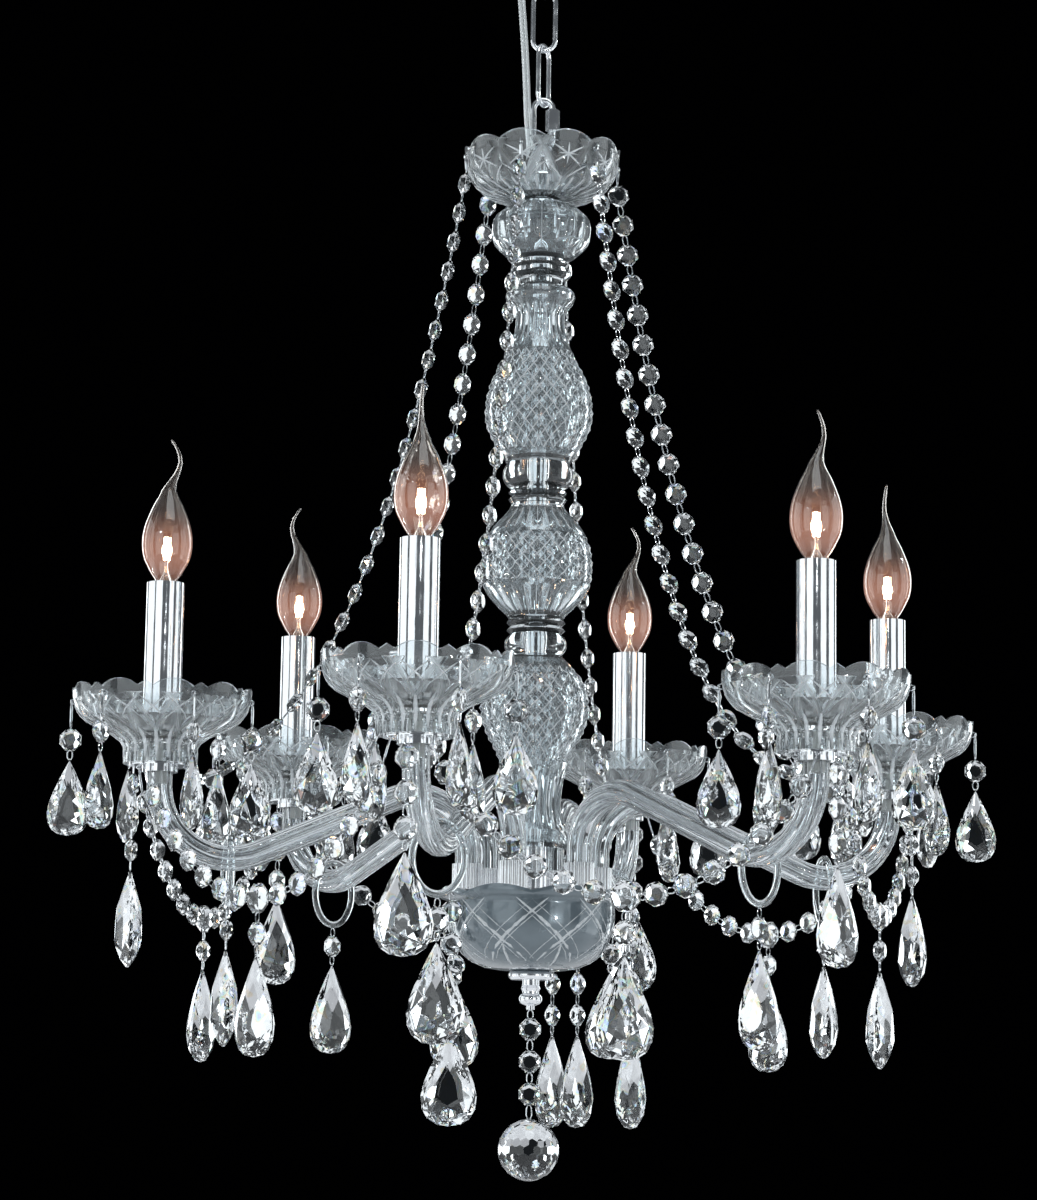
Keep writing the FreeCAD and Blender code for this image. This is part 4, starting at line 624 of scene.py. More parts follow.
def smooth_radius(profile: Sequence[tuple[float, float]], height: float) -> float:
    """The radius of a turned shape at one height, on a smooth curve through its profile.

    Args:
        profile: Heights and radii, from the foot up.
        height: The height that is asked for.

    Returns:
        The radius.
    """
    last = len(profile) - 1
    span = next((i for i in range(last) if height <= profile[i + 1][0]), last - 1)
    points = [profile[max(0, min(last, span + step))] for step in (-1, 0, 1, 2)]
    (_, before), (low, start), (high, end), (_, after) = points
    share = max(0.0, min(1.0, (height - low) / (high - low)))
    rise = (end - before) / 2, (after - start) / 2
    square, cube = share * share, share**3
    return (
        (2 * cube - 3 * square + 1) * start
        + (cube - 2 * square + share) * rise[0]
        + (3 * square - 2 * cube) * end
        + (cube - square) * rise[1]
    )


class Cut(Enum):
    """How one band of a turned glass piece is cut."""

    PLAIN = "plain"
    FLUTES = "flutes"
    DIAMONDS = "diamonds"


@dataclass(frozen=True)
class Band:
    """A band of a turned piece, from one share of its height to another."""

    low: float
    high: float
    cut: Cut = Cut.PLAIN
    rows: int = 1
    depth: float = 0.0

    def steps(self) -> int:
        """How many rows of faces the band has."""
        return {Cut.PLAIN: 5, Cut.FLUTES: 9, Cut.DIAMONDS: 8 * self.rows}[self.cut]


def tooth(value: float) -> float:
    """A wave from 0 on a whole number to 1 halfway to the next."""
    return 1 - abs(2 * (value % 1) - 1)


@dataclass
class TurnedGlass:
    """A piece of the column: a smooth profile, cut in bands, round the stem's bore."""

    name: str
    node: str
    profile: tuple[tuple[float, float], ...]
    bands: tuple[Band, ...]
    diamonds: int = 24
    flutes: int = 24
    bore: float = 5.25 * MM
    wall: float = 3.6 * MM
    columns: int = 192

    def depth_at(self, share: float, turn: float) -> float:
        """How deep the surface is cut at a share of the height and of the turn."""
        band = next((b for b in self.bands if share <= b.high + 1e-6), self.bands[-1])
        within = (share - band.low) / (band.high - band.low)
        if band.cut is Cut.DIAMONDS:
            along = within * band.rows
            round_it = turn * self.diamonds
            return band.depth * (1 - min(tooth(round_it + along), tooth(round_it - along)))
        if band.cut is Cut.FLUTES:
            ridge = abs(math.sin(math.pi * turn * self.flutes))
            return band.depth * (1 - ridge) * min(1.0, 6 * min(within, 1 - within))
        return 0.0

    def outline(self, foot: float, tall: float) -> list[Vector]:
        """The half section's points, from the bore's foot up the outside to its top."""
        shares = [0.0]
        for band in self.bands:
            step = (band.high - band.low) / band.steps()
            shares += [band.low + step * (row + 1) for row in range(band.steps())]
        side = [Vector((smooth_radius(self.profile, z), 0, foot + z * tall)) for z in shares]
        low, high = Vector((self.bore, 0, foot)), Vector((self.bore, 0, foot + tall))
        return [low, *side, high, *self.cavity(foot, tall)]

    def cavity(self, foot: float, tall: float) -> list[Vector]:
        """The half section's points inside the wall, from the top down."""
        end = self.wall / tall
        inside = []
        for row in range(21):
            share = 1 - end - (1 - 2 * end) * row / 20
            reach = smooth_radius(self.profile, share) - self.wall
            inside.append(Vector((max(self.bore * 1.3, reach), 0, foot + share * tall)))
        top, bottom = inside[0].z, inside[-1].z
        return [Vector((self.bore, 0, top)), *inside, Vector((self.bore, 0, bottom))]

    def is_outer(self, place: Vector, foot: float, tall: float) -> bool:
        """Whether a point is on the outside, and not in the bore or the cavity."""
        skin = smooth_radius(self.profile, (place.z - foot) / tall)
        return math.hypot(place.x, place.y) > skin - self.wall / 2

    def shape(self, verts: Iterable[BMVert], foot: float, tall: float) -> None:
        """Move the outer vertices to the cut surface."""
        for vert in verts:
            radius = math.hypot(vert.co.x, vert.co.y)
            if not self.is_outer(vert.co, foot, tall):
                continue
            share = (vert.co.z - foot) / tall
            turn = math.atan2(vert.co.y, vert.co.x) / (2 * math.pi)
            wanted = smooth_radius(self.profile, share) - self.depth_at(share, turn)
            vert.co.x *= wanted / radius
            vert.co.y *= wanted / radius

    def cut_faces(self, mesh: BMesh, foot: float, tall: float) -> list[BMFace]:
        """The faces of the diamond bands."""
        chosen = []
        zones = [(b.low, b.high) for b in self.bands if b.cut is Cut.DIAMONDS]
        for face in mesh.faces:
            centre = face.calc_center_median()
            share = (centre.z - foot) / tall
            outer = self.is_outer(centre, foot, tall)
            if outer and any(low < share < high for low, high in zones):
                chosen.append(face)
        return chosen

    def paint_groove_highlights(self, made: bpy.types.Object) -> None:
        """Lay a strip of milky glass in the groove between each two rows of diamonds, and down each flute:
        painted highlights along the cuts.
        """
        # painted highlights: the wheel cuts' tool lays these milky strips in the grooves
        cuts = WheelCuts(made, f"{self.name}_net", depth=0.25 * MM, taper=0.05)
        for band in self.bands:
            if band.cut is Cut.FLUTES:
                for flute in range(self.flutes):
                    turn = 360 * flute / self.flutes
                    margin = 0.08 * (band.high - band.low)
                    ends = ((turn, band.low + margin), (turn, band.high - margin))
                    cuts.stroke(*ends, 0.45 * MM)
            if band.cut is not Cut.DIAMONDS:
                continue
            cuts.steps = 4 * band.rows
            for line in range(self.diamonds):
                for lean in (-1, 1):
                    start = 360 * (line + 0.5) / self.diamonds
                    end = start + lean * 360 * band.rows / self.diamonds
                    cuts.stroke((start, band.low), (end, band.high), 0.4 * MM)
            cuts.steps = 6
        cuts.finish()

    def build(self) -> bpy.types.Object:
        """Turn, cut and finish the piece.

        Returns:
            The new object, which stands for the CAD node.
        """
        low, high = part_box(self.node)
        foot, tall = low.z, high.z - low.z
        mesh = bmesh.new()
        points = [mesh.verts.new(point) for point in self.outline(foot, tall)]
        edges = [mesh.edges.new(pair) for pair in zip(points, points[1:] + points[:1])]
        bmesh.ops.spin(
            mesh, geom=[*points, *edges], cent=(0, 0, 0), axis=(0, 0, 1), angle=2 * math.pi,
            steps=self.columns, use_merge=True,
        )
        bmesh.ops.remove_doubles(mesh, verts=mesh.verts, dist=1e-6)
        faces = self.cut_faces(mesh, foot, tall)
        bmesh.ops.poke(mesh, faces=faces)
        self.shape(mesh.verts, foot, tall)
        bmesh.ops.recalc_face_normals(mesh, faces=mesh.faces)
        made = to_object(self.name, mesh, COLUMN_GLASS, 14)
        self.paint_groove_highlights(made)
        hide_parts(self.node)
        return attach(made, "chandelier")


def scaled(profile: Iterable[tuple[float, float]]) -> tuple[tuple[float, float], ...]:
    """A profile whose radii are given in millimetres, in metres."""
    return tuple((share, radius * MM) for share, radius in profile)


@dataclass
class Column:
    """The four large pieces of cut glass on the stem."""

    melon: TurnedGlass = field(
        default_factory=lambda: TurnedGlass(
            "melon_ball_cut", "melon_ball",
            scaled(((0, 14.3), (0.1, 23.8), (0.3, 32.3), (0.5, 34), (0.7, 32), (0.9, 22.4), (1, 12.2))),
            (Band(0, 0.12), Band(0.12, 0.9, Cut.FLUTES, 1, 2.2 * MM), Band(0.9, 1)),
            flutes=16,
        )
    )
    upper_vase: TurnedGlass = field(
        default_factory=lambda: TurnedGlass(
            "upper_vase_cut", "upper_vase",
            scaled((
                (0, 21.8), (0.08, 28.4), (0.2, 35.3), (0.31, 36.4), (0.45, 32.8), (0.62, 22.6),
                (0.73, 17.6), (0.82, 16.6), (0.87, 18), (0.9, 21.6), (0.94, 23.7), (0.975, 21.8),
                (1, 16.1),
            )),
            (
                Band(0, 0.05), Band(0.05, 0.61, Cut.DIAMONDS, 6, 1.5 * MM), Band(0.61, 0.66),
                Band(0.66, 0.9, Cut.FLUTES, 1, 1.6 * MM), Band(0.9, 1),
            ),
        )
    )
    middle_ball: TurnedGlass = field(
        default_factory=lambda: TurnedGlass(
            "middle_ball_cut", "middle_ball",
            scaled((
                (0, 18.8), (0.08, 24.8), (0.2, 32.6), (0.3, 36.4), (0.46, 37.5), (0.64, 35.6),
                (0.8, 29.3), (0.93, 20.6), (1, 17.6),
            )),
            (
                Band(0, 0.25, Cut.FLUTES, 1, 1.8 * MM), Band(0.25, 0.28),
                Band(0.28, 0.7, Cut.DIAMONDS, 3, 1.6 * MM), Band(0.7, 0.73),
                Band(0.73, 0.96, Cut.FLUTES, 1, 1.8 * MM), Band(0.96, 1),
            ),
            diamonds=24,
        )
    )
    lower_vase: TurnedGlass = field(
        default_factory=lambda: TurnedGlass(
            "lower_vase_cut", "lower_vase",
            scaled((
                (0, 22.3), (0.05, 24.2), (0.1, 20.8), (0.2, 18.2), (0.34, 19.7), (0.48, 24.9),
                (0.62, 33.7), (0.75, 36.6), (0.88, 31.5), (0.96, 22.7), (1, 17.6),
            )),
            (
                Band(0, 0.09), Band(0.09, 0.4, Cut.FLUTES, 1, 1.6 * MM), Band(0.4, 0.44),
                Band(0.44, 0.93, Cut.DIAMONDS, 6, 1.5 * MM), Band(0.93, 1),
            ),
        )
    )

    def build(self) -> None:
        """Build the column's pieces."""
        for piece in (self.melon, self.upper_vase, self.middle_ball, self.lower_vase):
            made = piece.build()
            log.info("%s: %d faces", made.name, len(made.data.polygons))


# Crystals and their wire


def islands(mesh: BMesh) -> list[list[BMFace]]:
    """The separate pieces of a mesh, each as a list of its faces."""
    left = set(mesh.faces)
    found = []
    while left:
        group, queue = [], [left.pop()]
        while queue:
            face = queue.pop()
            group.append(face)
            near = {other for edge in face.edges for other in edge.link_faces}
            queue += near & left
            left -= near
        found.append(group)
    return found


def hull(name: str, points: Iterable[Sequence[float]]) -> bpy.types.Mesh:
    """A closed faceted mesh round some points.

    Args:
        name: The mesh's name.
        points: The points, all of them corners of facets.

    Returns:
        The new mesh.
    """
    mesh = bmesh.new()
    for point in points:
        mesh.verts.new(point)
    bmesh.ops.convex_hull(mesh, input=mesh.verts)
    bmesh.ops.recalc_face_normals(mesh, faces=mesh.faces)
    data = bpy.data.meshes.new(name)
    mesh.to_mesh(data)
    mesh.free()
    return data


def pear_template() -> bpy.types.Mesh:
    """A pear-shaped drop with rows of facets round a lozenge window.

    Its half width and half depth are 1, and it reaches from 0 down to -1.
    """
    outline = ((0, 0), (0.24, 0.13), (0.48, 0.27), (0.7, 0.41), (0.88, 0.55), (0.98, 0.69),
               (0.93, 0.82), (0.74, 0.92), (0.42, 0.98), (0, 1))
    ring = [*outline, *((-x, z) for x, z in outline[-2:0:-1])]
    middle = 0.64
    points = [(x, side * 0.1, -z) for x, z in ring for side in (-1, 1)]
    rows = ((0.76, 0.56, range(1, len(ring), 2)), (0.4, 0.93, range(0, len(ring), 3)))
    for scale, rise, chosen in rows:
        for number in chosen:
            x, z = ring[number]
            place = (x * scale, -(middle + (z - middle) * scale))
            points += [(place[0], side * rise, place[1]) for side in (-1, 1)]
    return hull("pear_template", points)


def bead_template() -> bpy.types.Mesh:
    """An eight-sided bead with a flat table and a row of facets on both faces.

    Its corners are 1 from its middle, with the first on X, and its half depth is 1.
    """
    points = []
    for corner in range(8):
        angle = corner * math.pi / 4
        points += [(math.cos(angle), side * 0.16, math.sin(angle)) for side in (-1, 1)]
        angle += math.pi / 8
        points += [(0.56 * math.cos(angle), side, 0.56 * math.sin(angle)) for side in (-1, 1)]
    return hull("bead_template", points)


def ball_template() -> bpy.types.Mesh:
    """A ball of flat six-sided facets, of radius 1."""
    sphere = bmesh.new()
    bmesh.ops.create_icosphere(sphere, subdivisions=3, radius=1)
    points = [face.calc_center_median().normalized() for face in sphere.faces]
    sphere.free()
    return hull("ball_template", points)


@dataclass
class CrystalChains:
    """The faceted crystals of CAD nodes, with a bent wire link in place of each plain bar."""

    link_width: float = 4.2 * MM
    hook_width: float = 1.9 * MM
    longest_link: float = 11 * MM
    wire: float = 0.45 * MM
    bar_faces: int = 12
    bead_faces: int = 16
    drop_faces: int = 32
    facet_merge: float = 0.05

    def place_crystal(self, mesh: BMesh, template: bpy.types.Mesh, matrix: Matrix) -> None:
        """Add a template's copy to a mesh, put in its place by a matrix."""
        start = len(mesh.verts)
        mesh.from_mesh(template)
        mesh.verts.ensure_lookup_table()
        bmesh.ops.transform(mesh, matrix=matrix, verts=mesh.verts[start:])

    def bead_matrix(self, faces: list[BMFace]) -> Matrix:
        """How a bead of unit size lies in place of a plain one."""
        verts = {vert for face in faces for vert in face.verts}
        tips = [vert.co for vert in verts if len(vert.link_edges) == 8]
        centre = (tips[0] + tips[1]) / 2
        depth = (tips[0] - tips[1]) / 2
        corner = next(vert.co for vert in verts if len(vert.link_edges) != 8) - centre
        up = corner.cross(depth).normalized() * corner.length
        matrix = Matrix((corner, depth, up)).transposed().to_4x4()
        return Matrix.Translation(centre) @ matrix

    def drop_matrix(self, faces: list[BMFace]) -> Matrix:
        """How a drop of unit size hangs in place of a plain one."""
        places = [vert.co for face in faces for vert in face.verts]
        top, bottom = max(places, key=lambda p: p.z), min(places, key=lambda p: p.z)
        off = [Vector((p.x - top.x, p.y - top.y, 0)) for p in places]
        width = max(off, key=lambda reach: reach.length)
        across = Vector((-width.y, width.x, 0)).normalized()
        depth = across * max(reach.dot(across) for reach in off)
        tall = Vector((0, 0, top.z - bottom.z))
        return Matrix.Translation(top) @ Matrix((width, depth, tall)).transposed().to_4x4()

    def ball_matrix(self, faces: list[BMFace]) -> Matrix:
        """How a ball of unit size lies in place of a plain one."""
        places = [vert.co for face in faces for vert in face.verts]
        low, high = min(p.z for p in places), max(p.z for p in places)
        middle = sum(places, Vector()) / len(places)
        middle.z = (low + high) / 2
        return Matrix.Translation(middle) @ Matrix.Scale((high - low) / 2, 4)

    def link_template(self) -> BMesh:
        """A rounded wire link of unit length and width, lying along Z in the XZ plane."""
        mesh = bmesh.new()
        bmesh.ops.create_circle(mesh, segments=4, radius=1, cap_ends=False)
        bmesh.ops.rotate(mesh, verts=mesh.verts, matrix=Matrix.Rotation(math.pi / 2, 3, "X"))
        bmesh.ops.translate(mesh, verts=mesh.verts, vec=(10, 0, 0))
        bmesh.ops.spin(
            mesh, geom=[*mesh.verts, *mesh.edges], cent=(0, 0, 0), axis=(0, 0, 1),
            angle=2 * math.pi, steps=8, use_merge=True,
        )
        bmesh.ops.remove_doubles(mesh, verts=mesh.verts, dist=1e-4)
        bmesh.ops.recalc_face_normals(mesh, faces=mesh.faces)
        bmesh.ops.rotate(mesh, verts=mesh.verts, matrix=Matrix.Rotation(math.pi / 8, 3, "Z"))
        bmesh.ops.rotate(mesh, verts=mesh.verts, matrix=Matrix.Rotation(math.pi / 2, 3, "X"))
        return mesh

    def place_link(self, wires: BMesh, template: bpy.types.Mesh, bar: list[BMFace]) -> None:
        """Add a wire link where a plain bar lies.

        Args:
            wires: The mesh that gets the link.
            template: The link's shape, whose middle line has a radius of 10.
            bar: The faces of the bar.
        """
        corners = list({vert for face in bar for vert in face.verts})
        centre = sum((vert.co for vert in corners), Vector()) / len(corners)
        edges = {edge for face in bar for edge in face.edges}
        sides = sorted(edges, key=lambda edge: edge.calc_length())
        longest = max(
            (e for e in sides if len(e.link_faces) == 2 and e.calc_face_angle(0) > 1),
            key=lambda edge: edge.calc_length(),
        )
        along = (longest.verts[0].co - longest.verts[1].co).normalized()
        shortest = next(e for e in sides if e.calc_length() > 1e-4)
        thin = (shortest.verts[0].co - shortest.verts[1].co).normalized()
        across = along.cross(thin).normalized()
        thin = across.cross(along).normalized()
        half_length = longest.calc_length() / 2 + 0.6 * MM
        hook = longest.calc_length() > self.longest_link
        half_width = (self.hook_width if hook else self.link_width) / 2
        start = len(wires.verts)
        wires.from_mesh(template)
        wires.verts.ensure_lookup_table()
        for vert in wires.verts[start:]:
            flat = Vector((vert.co.x, 0, vert.co.z))
            ring = flat.normalized()
            off = flat.length - 10
            reach = Vector((max(-0.72, min(0.72, ring.x)) / 0.72, 0, ring.z / 0.93))
            side = reach.x * (half_width - self.wire) + ring.x * off * self.wire
            rise = reach.z * (half_length - self.wire) + ring.z * off * self.wire
            vert.co = centre + across * side + along * rise + thin * (vert.co.y * self.wire)

    def build(self, node: str, body: str) -> None:
        """Stand crystals and wire links in for one CAD node.

        Args:
            node: The CAD node.
            body: The body that it rides on.
        """
        source, crystals, wires = bmesh.new(), bmesh.new(), bmesh.new()
        source.from_mesh(bpy.data.objects[node].data)
        bmesh.ops.remove_doubles(source, verts=source.verts, dist=1e-6)
        template_mesh = self.link_template()
        template = bpy.data.meshes.new("link_template")
        template_mesh.to_mesh(template)
        template_mesh.free()
        pear, bead, ball = pear_template(), bead_template(), ball_template()
        groups = islands(source)
        bars = [group for group in groups if len(group) == self.bar_faces]
        for bar in bars:
            self.place_link(wires, template, bar)
        beads = [self.bead_matrix(group) for group in groups if len(group) == self.bead_faces]
        drops = [self.drop_matrix(group) for group in groups if len(group) == self.drop_faces]
        balls = [self.ball_matrix(group) for group in groups if len(group) > self.drop_faces]
        few = (self.bar_faces, self.bead_faces)
        gone = [
            face for group in groups if len(group) in few or len(group) >= self.drop_faces
            for face in group
        ]
        bmesh.ops.delete(source, geom=gone, context="FACES")
        kept = bpy.data.meshes.new("kept_crystals")
        source.to_mesh(kept)
        source.free()
        crystals.from_mesh(kept)
        for matrix in beads:
            self.place_crystal(crystals, bead, matrix)
        for matrix in drops:
            self.place_crystal(crystals, pear, matrix)
        for matrix in balls:
            self.place_crystal(crystals, ball, matrix)
        angle = self.facet_merge if balls else 0.01
        bmesh.ops.dissolve_limit(
            crystals, angle_limit=angle, verts=crystals.verts, edges=crystals.edges
        )
        for used in (template, pear, bead, ball, kept):
            bpy.data.meshes.remove(used)
        bmesh.ops.recalc_face_normals(crystals, faces=crystals.faces)
        made = to_object(f"{node}_crystals", crystals, CRYSTAL)
        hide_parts(node)
        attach(made, body)
        links = to_object(f"{node}_links", wires, WIRE, 50)
        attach(links, body)
        log.info("%s: %d links, %d beads, %d drops", node, len(bars), len(beads), len(drops))


# Lamps


@dataclass
class Bulb:
    """A flame-tip bulb: its thin glass with the bent tail, screw cap, stem and filament."""

    lamp: int
    neck: float = 6.3 * MM
    belly: float = 16.4 * MM
    belly_height: float = 27 * MM
    shoulder: float = 61 * MM
    tip: float = 95 * MM
    reach: float = 7 * MM
    wall: float = 0.45 * MM
    filament_low: float = 15 * MM
    filament_tall: float = 15 * MM

    def foot(self) -> Vector:
        """The middle of the glass's foot, at the top of the candle sleeve."""
        place = lamp_place(self.lamp)
        place.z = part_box(f"bulb_{self.lamp}")[1].z - self.tip
        return place

    def glass(self) -> bpy.types.Object:
        """The glass: turned to its shoulder, then drawn out along the bent tail."""
        profile = (
            (0, self.neck), (0.22 * self.belly_height, 0.62 * self.belly),
            (0.6 * self.belly_height, 0.92 * self.belly), (self.belly_height, self.belly),
            (0.62 * self.shoulder, 0.9 * self.belly), (0.82 * self.shoulder, 0.62 * self.belly),
            (self.shoulder, 0.3 * self.belly),
        )
        mesh = bmesh.new()
        heights = [self.shoulder * step / 24 for step in range(25)]
        points = [mesh.verts.new((smooth_radius(profile, z), 0, z)) for z in heights]
        edges = [mesh.edges.new(pair) for pair in zip(points, points[1:])]
        bmesh.ops.spin(
            mesh, geom=[*points, *edges], cent=(0, 0, 0), axis=(0, 0, 1), angle=2 * math.pi,
            steps=40, use_merge=True,
        )
        bmesh.ops.remove_doubles(mesh, verts=mesh.verts, dist=1e-6)
        self.draw_tail(mesh)
        bmesh.ops.recalc_face_normals(mesh, faces=mesh.faces)
        matrix = Matrix.Translation(self.foot()) @ Matrix.Rotation(
            math.radians(TAIL_TURNS[self.lamp - 1]), 4, "Z"
        )
        bmesh.ops.transform(mesh, matrix=matrix, verts=mesh.verts)
        centre = self.foot() + Vector((0, 0, self.filament_low + self.filament_tall / 2))
        finish = BulbGlassFinish(f"bulb_glass_{self.lamp}", tuple(centre))
        made = to_object(f"bulb_glass_{self.lamp}", mesh, finish, 60)
        wall = made.modifiers.new("wall", "SOLIDIFY")
        wall.thickness, wall.offset = self.wall, -1
        return made

    def draw_tail(self, mesh: BMesh) -> None:
        """Draw the open top out along the tail, and close its end."""
        tail = ((0, 0, 0.3), (0.15, 0.26, 0.2), (0.3, 0.62, 0.134), (0.42, 0.86, 0.105),
                (0.55, 1, 0.085), (0.68, 0.93, 0.075), (0.8, 0.7, 0.067), (0.92, 0.36, 0.06),
                (0.985, 0.15, 0.055))
        rise = self.tip - self.shoulder
        rim = [edge for edge in mesh.edges if edge.is_boundary and edge.verts[0].co.z > self.belly]
        for (low, _, _), (high, across, radius) in zip(tail, tail[1:]):
            step = bmesh.ops.extrude_edge_only(mesh, edges=rim)["geom"]
            verts = [item for item in step if isinstance(item, BMVert)]
            rim = [item for item in step if isinstance(item, bmesh.types.BMEdge) and item.is_boundary]
            centre = sum((vert.co for vert in verts), Vector()) / len(verts)
            aim = Vector((across * self.reach, 0, self.shoulder + high * rise))
            now = sum(((vert.co - centre).length for vert in verts)) / len(verts)
            for vert in verts:
                vert.co = aim + (vert.co - centre) * (radius * self.belly / now)
        cap = bmesh.ops.contextual_create(mesh, geom=rim)["faces"]
        middle = bmesh.ops.poke(mesh, faces=cap)["verts"]
        bmesh.ops.translate(mesh, verts=middle, vec=(0, 0, 0.012 * rise))

    def filament(self) -> bpy.types.Object:
        """The filament: three hairpins round the glass stem's top."""
        mesh = bmesh.new()
        foot = self.foot()
        for turn in range(3):
            angle = math.radians(120 * turn + 20)
            for side in (-1, 1):
                reach = 1.9 * MM
                place = Vector((reach * math.cos(angle), reach * math.sin(angle), 0))
                place += Vector((-math.sin(angle), math.cos(angle), 0)) * side * 0.7 * MM
                low = foot + place + Vector((0, 0, self.filament_low))
                made = bmesh.ops.create_cone(
                    mesh, segments=8, radius1=0.5 * MM, radius2=0.42 * MM,
                    depth=self.filament_tall, cap_ends=True,
                )["verts"]
                middle = low + Vector((0, 0, self.filament_tall / 2))
                bmesh.ops.translate(mesh, verts=made, vec=middle)
        knot = bmesh.ops.create_uvsphere(mesh, u_segments=16, v_segments=10, radius=1)["verts"]
        bmesh.ops.scale(mesh, vec=(3.4 * MM, 3.4 * MM, 6 * MM), verts=knot)
        height = self.filament_low + 0.42 * self.filament_tall
        bmesh.ops.translate(mesh, verts=knot, vec=foot + Vector((0, 0, height)))
        return to_object(f"bulb_filament_{self.lamp}", mesh, FilamentFinish(), 60)

    def stem(self) -> bpy.types.Object:
        """The pressed glass stem that carries the filament's leads."""
        mesh = bmesh.new()
        outline = ((4.6, -2), (4.2, 2), (2.2, 6), (1.2, 9), (1.1, 13), (1.5, 14.6), (0, 15.2))
        points = [mesh.verts.new((r * MM, 0, z * MM)) for r, z in outline]
        edges = [mesh.edges.new(pair) for pair in zip(points, points[1:])]
        bmesh.ops.spin(
            mesh, geom=[*points, *edges], cent=(0, 0, 0), axis=(0, 0, 1), angle=2 * math.pi,
            steps=20, use_merge=True,
        )
        bmesh.ops.remove_doubles(mesh, verts=mesh.verts, dist=1e-6)
        bmesh.ops.holes_fill(mesh, edges=[edge for edge in mesh.edges if edge.is_boundary])
        bmesh.ops.recalc_face_normals(mesh, faces=mesh.faces)
        bmesh.ops.translate(mesh, verts=mesh.verts, vec=self.foot())
        return to_object(f"bulb_stem_{self.lamp}", mesh, STEM_GLASS, 50)

    def screw_cap(self) -> bpy.types.Object:
        """The screw cap with its rolled thread and contact."""
        mesh = bmesh.new()
        outline = [(0, -22), (2.2, -22), (3.4, -20.6), (5.4, -19)]
        for ring in range(6):
            outline += [(6.0, -18 + 2.6 * ring), (5.55, -16.7 + 2.6 * ring)]
        outline += [(6.0, -1.5), (6.0, 0.4), (5.2, 0.8)]
        points = [mesh.verts.new((r * MM, 0, z * MM)) for r, z in outline]
        edges = [mesh.edges.new(pair) for pair in zip(points, points[1:])]
        bmesh.ops.spin(
            mesh, geom=[*points, *edges], cent=(0, 0, 0), axis=(0, 0, 1), angle=2 * math.pi,
            steps=28, use_merge=True,
        )
        bmesh.ops.remove_doubles(mesh, verts=mesh.verts, dist=1e-6)
        bmesh.ops.holes_fill(mesh, edges=[edge for edge in mesh.edges if edge.is_boundary])
        bmesh.ops.recalc_face_normals(mesh, faces=mesh.faces)
        bmesh.ops.translate(mesh, verts=mesh.verts, vec=self.foot())
        return to_object(f"bulb_cap_{self.lamp}", mesh, SCREW_CAP, 50)

    def build(self) -> None:
        """Build the bulb and put it on its body."""
        body = f"bulb_{self.lamp}"
        glass = self.glass()
        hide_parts(body)
        for piece in (glass, self.filament(), self.stem(), self.screw_cap()):
            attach(piece, body)
        log.info("bulb %d", self.lamp)


# Supply flex


@dataclass
class SupplyFlex:
    """The flat twin flex that comes down in front of the chain."""

    route: tuple[tuple[float, float, float], ...] = (
        (-20.0, -8.0, -24.0), (-19.6, -8.0, -52.0), (-16.9, -7.7, -88.0), (-13.8, -7.1, -124.0),
        (-11.7, -6.5, -155.0), (-10.6, -6.0, -184.0), (-8.0, -5.0, -206.0), (-8.0, -5.0, -227.0),
    )
    core: float = 1.3 * MM
    spread: float = 1.2 * MM
    width: float = 5 * MM

    def centre_line(self) -> list[Vector]:
        """Points along the route's smooth spline."""
        curve = bpy.data.curves.new("flex_route", "CURVE")
        curve.dimensions = "3D"
        spline = curve.splines.new("NURBS")
        spline.points.add(len(self.route) - 1)
        for point, place in zip(spline.points, self.route):
            point.co = (*(Vector(place) * MM), 1)
        spline.order_u, spline.use_endpoint_u, spline.resolution_u = 3, True, 8
        holder = bpy.data.objects.new("flex_route", curve)
        mesh = bpy.data.meshes.new_from_object(holder)
        points = [vert.co.copy() for vert in mesh.vertices]
        bpy.data.objects.remove(holder)
        bpy.data.curves.remove(curve)
        bpy.data.meshes.remove(mesh)
        return points

    def build(self) -> None:
        """Sweep both cores along the route."""
        points = self.centre_line()
        mesh = bmesh.new()
        for side in (-1, 1):
            ring = None
            for place, after in zip(points, points[1:] + points[-1:]):
                middle = place + Vector((side * self.spread, side * self.spread * 0.35, 0))
                if ring is None:
                    made = bmesh.ops.create_circle(mesh, segments=14, radius=self.core, cap_ends=True)
                    bmesh.ops.translate(mesh, verts=made["verts"], vec=middle)
                    edges = {edge for vert in made["verts"] for edge in vert.link_edges}
                    ring = [e for e in edges if all(v in made["verts"] for v in e.verts)]
                    continue
                step = bmesh.ops.extrude_edge_only(mesh, edges=ring)["geom"]
                verts = [item for item in step if isinstance(item, BMVert)]
                ring = [i for i in step if isinstance(i, bmesh.types.BMEdge) and i.is_boundary]
                centre = sum((vert.co for vert in verts), Vector()) / len(verts)
                bmesh.ops.translate(mesh, verts=verts, vec=middle - centre)
            bmesh.ops.contextual_create(mesh, geom=ring)
        bmesh.ops.recalc_face_normals(mesh, faces=mesh.faces)
        flex = to_object("supply_flex", mesh, FlexFinish(), 50)
        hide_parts("supply_cord")
        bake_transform(flex)


# CAD solids that only need a finish


